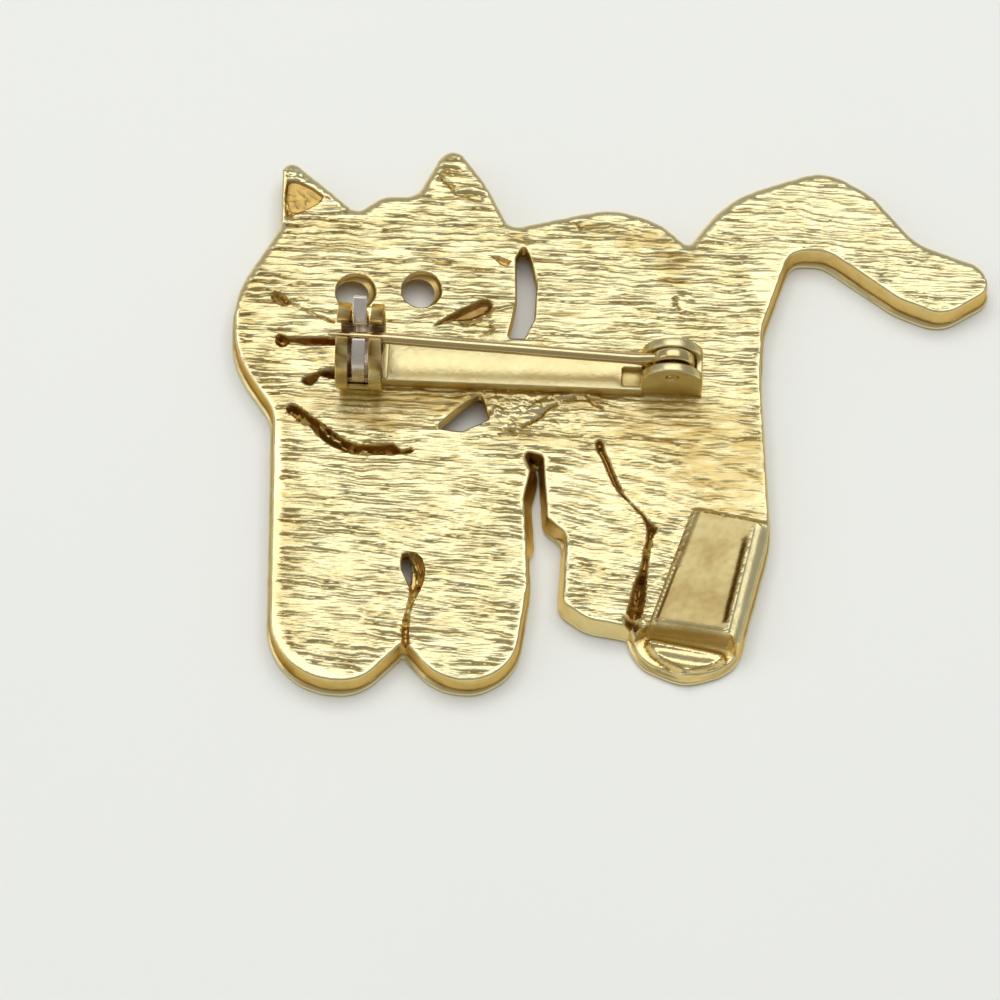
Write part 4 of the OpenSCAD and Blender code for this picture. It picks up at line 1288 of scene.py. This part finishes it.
def buildSleeve():
    up, outer = finding["catchUp"], sleeve["out"]
    inner = outer - sleeve["wall"]
    gap, gapIn = degreesAt(sleeve["slot"] / 2, outer), degreesAt(sleeve["slot"] / 2, inner)
    # the tab is bent out of the +y side of the slot
    tilt = math.radians(sleeve["tilt"])
    along = np.array([math.sin(tilt), math.cos(tilt)])
    over = np.array([along[1], -along[0]]) * (sleeve["wall"] + 0.05) / 2
    root = np.array([sleeve["slot"] / 2 + 0.2, up + outer - 0.35])
    far = root + along * (sleeve["tab"] + 0.35)
    outline = arc((0, up), outer, 90 + gap, 450 - gap - 8, 56)
    tab = (root + over + along * 0.45, far + over, far - over, root - over + along * 0.1)
    outline += [tuple(p) for p in tab]
    outline += arc((0, up), inner, 450 - gapIn - 1.5, 90 + gapIn, 50)
    low, high = sleeve["middle"] - sleeve["wide"] / 2, sleeve["middle"] + sleeve["wide"] / 2
    strip = slab(softened(outline, 0.12), low, high, "x", soft=0.05, wobble=0.012)
    wings = gutter(outer - 0.01, inner + 0.02, degreesAt(up - sleeve["lowTop"], outer), 36)
    low, high = finding["catchFrom"] + 0.1, finding["catchTo"] - 0.1
    wide = slab(softened(wings, 0.1), low, high, "x", soft=0.06, wobble=0.008)
    return [strip, wide]


class Shading:
    # short calls that add nodes to a tree; a value is a number, a colour or another node's output
    def __init__(self, tree):
        self.tree = tree

    def put(self, socket, value):
        if hasattr(value, "is_output"):
            self.tree.links.new(value, socket)
        else:
            socket.default_value = value

    def node(self, kind, values=None, **settings):
        made = self.tree.nodes.new(kind)
        for key, value in settings.items():
            setattr(made, key, value)
        for key, value in (values or {}).items():
            self.put(made.inputs[key], value)
        return made

    def maths(self, operation, first, second, clamp=False):
        made = self.node("ShaderNodeMath", {0: first, 1: second}, operation=operation, use_clamp=clamp)
        return made.outputs["Value"]

    def noise(self, vector, scale, detail=3.0):
        values = {"Vector": vector, "Scale": scale, "Detail": detail}
        return self.node("ShaderNodeTexNoise", values).outputs["Fac"]

    def mix(self, factor, first, second):
        values = {"Factor": factor, 6: first, 7: second}
        return self.node("ShaderNodeMix", values, data_type="RGBA").outputs[2]

    def coords(self):
        return self.node("ShaderNodeTexCoord").outputs["Object"]


def newMaterial(name):
    material = bpy.data.materials.new(name)
    material.use_nodes = True
    return material, Shading(material.node_tree), material.node_tree.nodes["Principled BSDF"].inputs


def newGroup(name, given, output, kind):
    # a node group with its given values as inputs and one output
    group = bpy.data.node_groups.new(name, "ShaderNodeTree")
    for label, value in given.items():
        socketKind = "NodeSocketColor" if isinstance(value, tuple) else "NodeSocketFloat"
        group.interface.new_socket(label, in_out="INPUT", socket_type=socketKind).default_value = value
    group.interface.new_socket(output, in_out="OUTPUT", socket_type=kind)
    shading = Shading(group)
    start, end = shading.node("NodeGroupInput"), shading.node("NodeGroupOutput")
    return group, shading, start.outputs, end.inputs[output]


def shadedWornColour():
    # plating from bright through worn to dark as the tone rises, the tone carrying wear and painted shade,
    # clouded, and mixed towards an amber colour by the amber share
    group, tree, given, end = newGroup(
        "shadedWornColour", {"Bright": (0.9, 0.8, 0.5, 1), "WornAndShaded": (0.7, 0.5, 0.2, 1), "Dark": (0.3, 0.2, 0.06, 1),
                       "AmberColour": (0.85, 0.6, 0.15, 1), "Tone": 0.0, "Amber": 0.0,
                       "Clouds": 600.0, "Clouding": 0.2},
        "Color", "NodeSocketColor")
    cloud = tree.maths("SUBTRACT", tree.noise(tree.coords(), given["Clouds"], 4.0), 0.5)
    cloud = tree.maths("MULTIPLY", cloud, given["Clouding"])
    tone = tree.maths("ADD", given["Tone"], cloud, True)
    twice = tree.maths("MULTIPLY", tone, 2.0, True)
    beyond = tree.maths("MULTIPLY", tree.maths("SUBTRACT", tone, 0.5), 2.0, True)
    colour = tree.mix(beyond, tree.mix(twice, given["Bright"], given["WornAndShaded"]), given["Dark"])
    amber = tree.maths("ADD", given["Amber"], cloud, True)
    amber = tree.maths("MULTIPLY", amber, tree.maths("SUBTRACT", 1.0, beyond, True), True)
    tree.put(end, tree.mix(tree.maths("MULTIPLY", amber, 0.85), colour, given["AmberColour"]))
    return group


def wornGloss():
    # gloss from smooth to dull, speckled
    group, tree, given, end = newGroup(
        "wornGloss", {"Dull": 0.0, "Smooth": 0.2, "Matte": 0.5, "Specks": 2500.0, "Speckling": 0.1},
        "Roughness", "NodeSocketFloat")
    speck = tree.maths("SUBTRACT", tree.noise(tree.coords(), given["Specks"]), 0.5)
    speck = tree.maths("MULTIPLY", speck, given["Speckling"])
    rough = tree.maths("MULTIPLY", given["Dull"], tree.maths("SUBTRACT", given["Matte"], given["Smooth"]))
    tree.put(end, tree.maths("ADD", tree.maths("ADD", rough, given["Smooth"]), speck, True))
    return group


def drawnGrain():
    # fine lines along the length, and a fine pebble where the metal is plain
    group, tree, given, end = newGroup(
        "drawnGrain", {"Along": 500.0, "Across": 6000.0, "Pebble": 3500.0, "Plain": 0.0},
        "Height", "NodeSocketFloat")
    coords = tree.coords()
    sizes = {"X": given["Along"], "Y": given["Across"], "Z": given["Along"]}
    stretch = tree.node("ShaderNodeCombineXYZ", sizes).outputs["Vector"]
    stretched = tree.node("ShaderNodeVectorMath", {0: coords, 1: stretch}, operation="MULTIPLY")
    drawn = tree.noise(stretched.outputs["Vector"], 1.0)
    drawn = tree.maths("MULTIPLY", drawn, tree.maths("SUBTRACT", 1.0, given["Plain"]))
    pebble = tree.maths("MULTIPLY", tree.noise(coords, given["Pebble"]), 0.4)
    tree.put(end, tree.maths("ADD", drawn, tree.maths("MULTIPLY", pebble, given["Plain"])))
    return group


metalGroups = {"colour": shadedWornColour(), "gloss": wornGloss(), "grain": drawnGrain()}
castRim, smallRim = (1.0, 0.78, 0.42, 1), (1.0, 0.85, 0.6, 1)

# each metal: its colours, its gloss, its grain, and the tint of its slanting reflections
metals = {
    "castGold": {
        "colour": {"Bright": (0.93, 0.85, 0.525, 1), "WornAndShaded": (0.70, 0.585, 0.275, 1),
                   "Dark": (0.34, 0.17, 0.035, 1), "AmberColour": (0.80, 0.52, 0.12, 1),
                   "Clouds": 700.0, "Clouding": 0.22},
        "gloss": {"Smooth": 0.23, "Matte": 0.52, "Specks": 2600.0, "Speckling": 0.16},
        "grain": {"Along": 650.0, "Across": 6500.0, "Pebble": 3200.0},
        "relief": 0.00004,
        "rim": castRim,
    },
    "pinBrass": {
        "colour": {"Bright": (0.92, 0.81, 0.50, 1), "WornAndShaded": (0.70, 0.53, 0.24, 1),
                   "Dark": (0.30, 0.20, 0.09, 1), "AmberColour": (0.88, 0.72, 0.36, 1),
                   "Clouds": 900.0, "Clouding": 0.25},
        "gloss": {"Smooth": 0.17, "Matte": 0.35, "Specks": 4000.0, "Speckling": 0.12},
        "grain": {"Along": 500.0, "Across": 9000.0, "Pebble": 5000.0},
        "relief": 0.000006,
        "rim": castRim,
    },
    "rivetBrass": {
        "colour": {"Bright": (0.90, 0.76, 0.40, 1), "WornAndShaded": (0.66, 0.46, 0.16, 1),
                   "Dark": (0.28, 0.17, 0.06, 1), "AmberColour": (0.84, 0.60, 0.20, 1),
                   "Clouds": 1200.0, "Clouding": 0.3},
        "gloss": {"Smooth": 0.22, "Matte": 0.42, "Specks": 5000.0, "Speckling": 0.15},
        "grain": {"Along": 3000.0, "Across": 5000.0, "Pebble": 5000.0},
        "relief": 0.00001,
        "rim": smallRim,
    },
    "sleeveNickel": {
        "colour": {"Bright": (0.97, 0.92, 0.84, 1), "WornAndShaded": (0.72, 0.58, 0.42, 1),
                   "Dark": (0.12, 0.07, 0.035, 1), "AmberColour": (0.70, 0.56, 0.34, 1),
                   "Clouds": 800.0, "Clouding": 0.4},
        "gloss": {"Smooth": 0.20, "Matte": 0.45, "Specks": 3000.0, "Speckling": 0.2},
        "grain": {"Along": 700.0, "Across": 6000.0, "Pebble": 3000.0},
        "relief": 0.00001,
        "rim": smallRim,
    },
}


def metalMaterial(name):
    metal = metals[name]
    material, tree, surface = newMaterial(name)
    wearAndShade = tree.node("ShaderNodeVertexColor", layer_name="wearAndShade").outputs
    split = tree.node("ShaderNodeSeparateColor", {"Color": wearAndShade["Color"]}).outputs
    # tone and amber from the vertex colours hold wear together with painted shade
    fromWearAndShade = {"colour": {"Tone": split["Red"], "Amber": wearAndShade["Alpha"]}, "gloss": {"Dull": split["Blue"]},
            "grain": {"Plain": split["Green"]}}
    shared = {}
    for part, group in metalGroups.items():
        shared[part] = tree.node("ShaderNodeGroup", {**metal[part], **fromWearAndShade[part]}, node_tree=group).outputs[0]
    tree.put(surface["Base Color"], shared["colour"])
    tree.put(surface["Roughness"], shared["gloss"])
    tree.put(surface["Metallic"], 1.0)
    tree.put(surface["Specular Tint"], metal["rim"])
    relief = tree.node("ShaderNodeBump", {"Distance": metal["relief"], "Height": shared["grain"]})
    tree.put(surface["Normal"], relief.outputs["Normal"])
    return material


def even(brown):
    return lambda corners: np.full(len(corners), brown)


def catchShade(corners):
    # painted shade inside the rings and on their upper parts, with random mottling; lighter on their outer
    # rims
    x, y, z = corners.T
    inside = smoothStep(catch["out"] - 0.2, catch["out"] - 0.4, np.hypot(y, z - finding["catchUp"]))
    mottle = waves(y / 0.8, z / 0.8 + x * 1.3, 92)
    return np.clip(0.22 + 0.55 * smoothStep(6.2, 7.2, z) + 0.75 * mottle + 0.35 * inside, 0, 1)


def wireShade(corners):
    # painted shade: browner on the side towards the paws
    return 0.12 + 0.5 * smoothStep(0.05, -0.25, corners[:, 1])


def sleeveShade(corners):
    # painted shade: the wide part under the strip is dark
    half = sleeve["wide"] / 2
    return 0.10 + 0.85 * smoothStep(half + 0.02, half + 0.12, np.abs(corners[:, 0] - sleeve["middle"]))


catBack = buildCat()
castGold = metalMaterial("castGold")
catBack.data.materials.append(castGold)
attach(catBack, "brooch")
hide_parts("cat_casting")
print("cat built")

findingParts = [
    ("findingBar", buildBar, "brooch", "cast_metal", ["cat_casting"], even(0.30)),
    ("hingeCheeks", buildCheeks, "brooch", "cast_metal", ["cat_casting"], even(0.22)),
    ("catchRings", buildCatch, "brooch", "cast_metal", ["cat_casting"], catchShade),
    ("pinStem", buildStem, "stem", "pin_metal", ["pin_stem"], wireShade),
    ("hingeRivet", buildRivet, "brooch", "rivet_metal", ["hinge_rivet"], even(0.3)),
    ("catchSleeve", buildSleeve, "sleeve", "sleeve_metal", ["catch_sleeve"], sleeveShade),
]
otherMetals = {"pinStem": "pinBrass", "hingeRivet": "rivetBrass", "catchSleeve": "sleeveNickel"}
for name, build, body, slot, nodeNames, shadeOf in findingParts:
    piece = findingPiece(name, build(), body, nodeNames, shadeOf)
    piece.data.materials.append(metalMaterial(otherMetals[name]) if name in otherMetals else castGold)
    print(name, len(piece.data.polygons))

# floor, lights and camera
floorMesh = bpy.data.meshes.new("floor")
floorMesh.from_pydata([(-1.5, -1.5, 0), (1.5, -1.5, 0), (1.5, 1.5, 0), (-1.5, 1.5, 0)], [], [(0, 1, 2, 3)])
floor = bpy.data.objects.new("floor", floorMesh)
bpy.context.collection.objects.link(floor)
floorMaterial, floorShading, floorSurface = newMaterial("paleFloor")
floorNoise = floorShading.noise(floorShading.coords(), 30.0)
ramp = floorShading.node("ShaderNodeValToRGB", {"Fac": floorNoise})
for stop, colour in zip(ramp.color_ramp.elements, ((0.785, 0.802, 0.772, 1), (0.812, 0.822, 0.792, 1))):
    stop.color = colour
floorShading.put(floorSurface["Base Color"], ramp.outputs["Color"])
floorShading.put(floorSurface["Roughness"], 0.7)
floorMesh.materials.append(floorMaterial)

lights = {
    "overhead": {"at": (0.0, 0.20, 0.50), "size": (0.60, 0.36), "power": 0.85, "colour": (1, 0.99, 0.96),
                 "mirrored": True},
    "left": {"at": (-0.55, 0.0, 0.40), "size": (0.3, 0.4), "power": 0.4, "colour": (1, 1, 1),
             "mirrored": True},
    "fill": {"at": (0.02, 0.14, 0.9), "size": (0.9, 0.9), "power": 5.1, "colour": (1, 1, 1),
             "mirrored": False},
}
for name, lamp in lights.items():
    data = bpy.data.lights.new(name, "AREA")
    data.shape = "RECTANGLE"
    data.size, data.size_y = lamp["size"]
    data.energy = lamp["power"]
    data.color = lamp["colour"]
    light = bpy.data.objects.new(name, data)
    light.location = lamp["at"]
    light.rotation_euler = (-Vector(lamp["at"])).to_track_quat("-Z", "Y").to_euler()
    light.visible_glossy = lamp["mirrored"]
    bpy.context.collection.objects.link(light)

world = bpy.data.worlds.new("room")
scene.world = world
world.use_nodes = True
background = world.node_tree.nodes["Background"]
background.inputs["Color"].default_value = (0.86, 0.86, 0.84, 1)
background.inputs["Strength"].default_value = 0.37

view = {
    "aim": (-7.94, -7.17, 2.4),  # what the middle of the picture looks at, in mm
    "far": 250.0,                # mm from it
    "tilt": 24.0,                # degrees from straight down
    "lens": 130.5,
}
tilt = math.radians(view["tilt"])
cameraData = bpy.data.cameras.new("camera")
cameraData.lens = view["lens"]
cameraData.sensor_width = 36.0
cameraData.clip_start = 0.01
cameraData.clip_end = 20.0
camera = bpy.data.objects.new("camera", cameraData)
camera.location = (Vector(view["aim"]) + Vector((0, -math.sin(tilt), math.cos(tilt))) * view["far"]) * mm
camera.rotation_euler = (tilt, 0, 0)
bpy.context.collection.objects.link(camera)
scene.camera = camera
scene.view_settings.view_transform = "Standard"
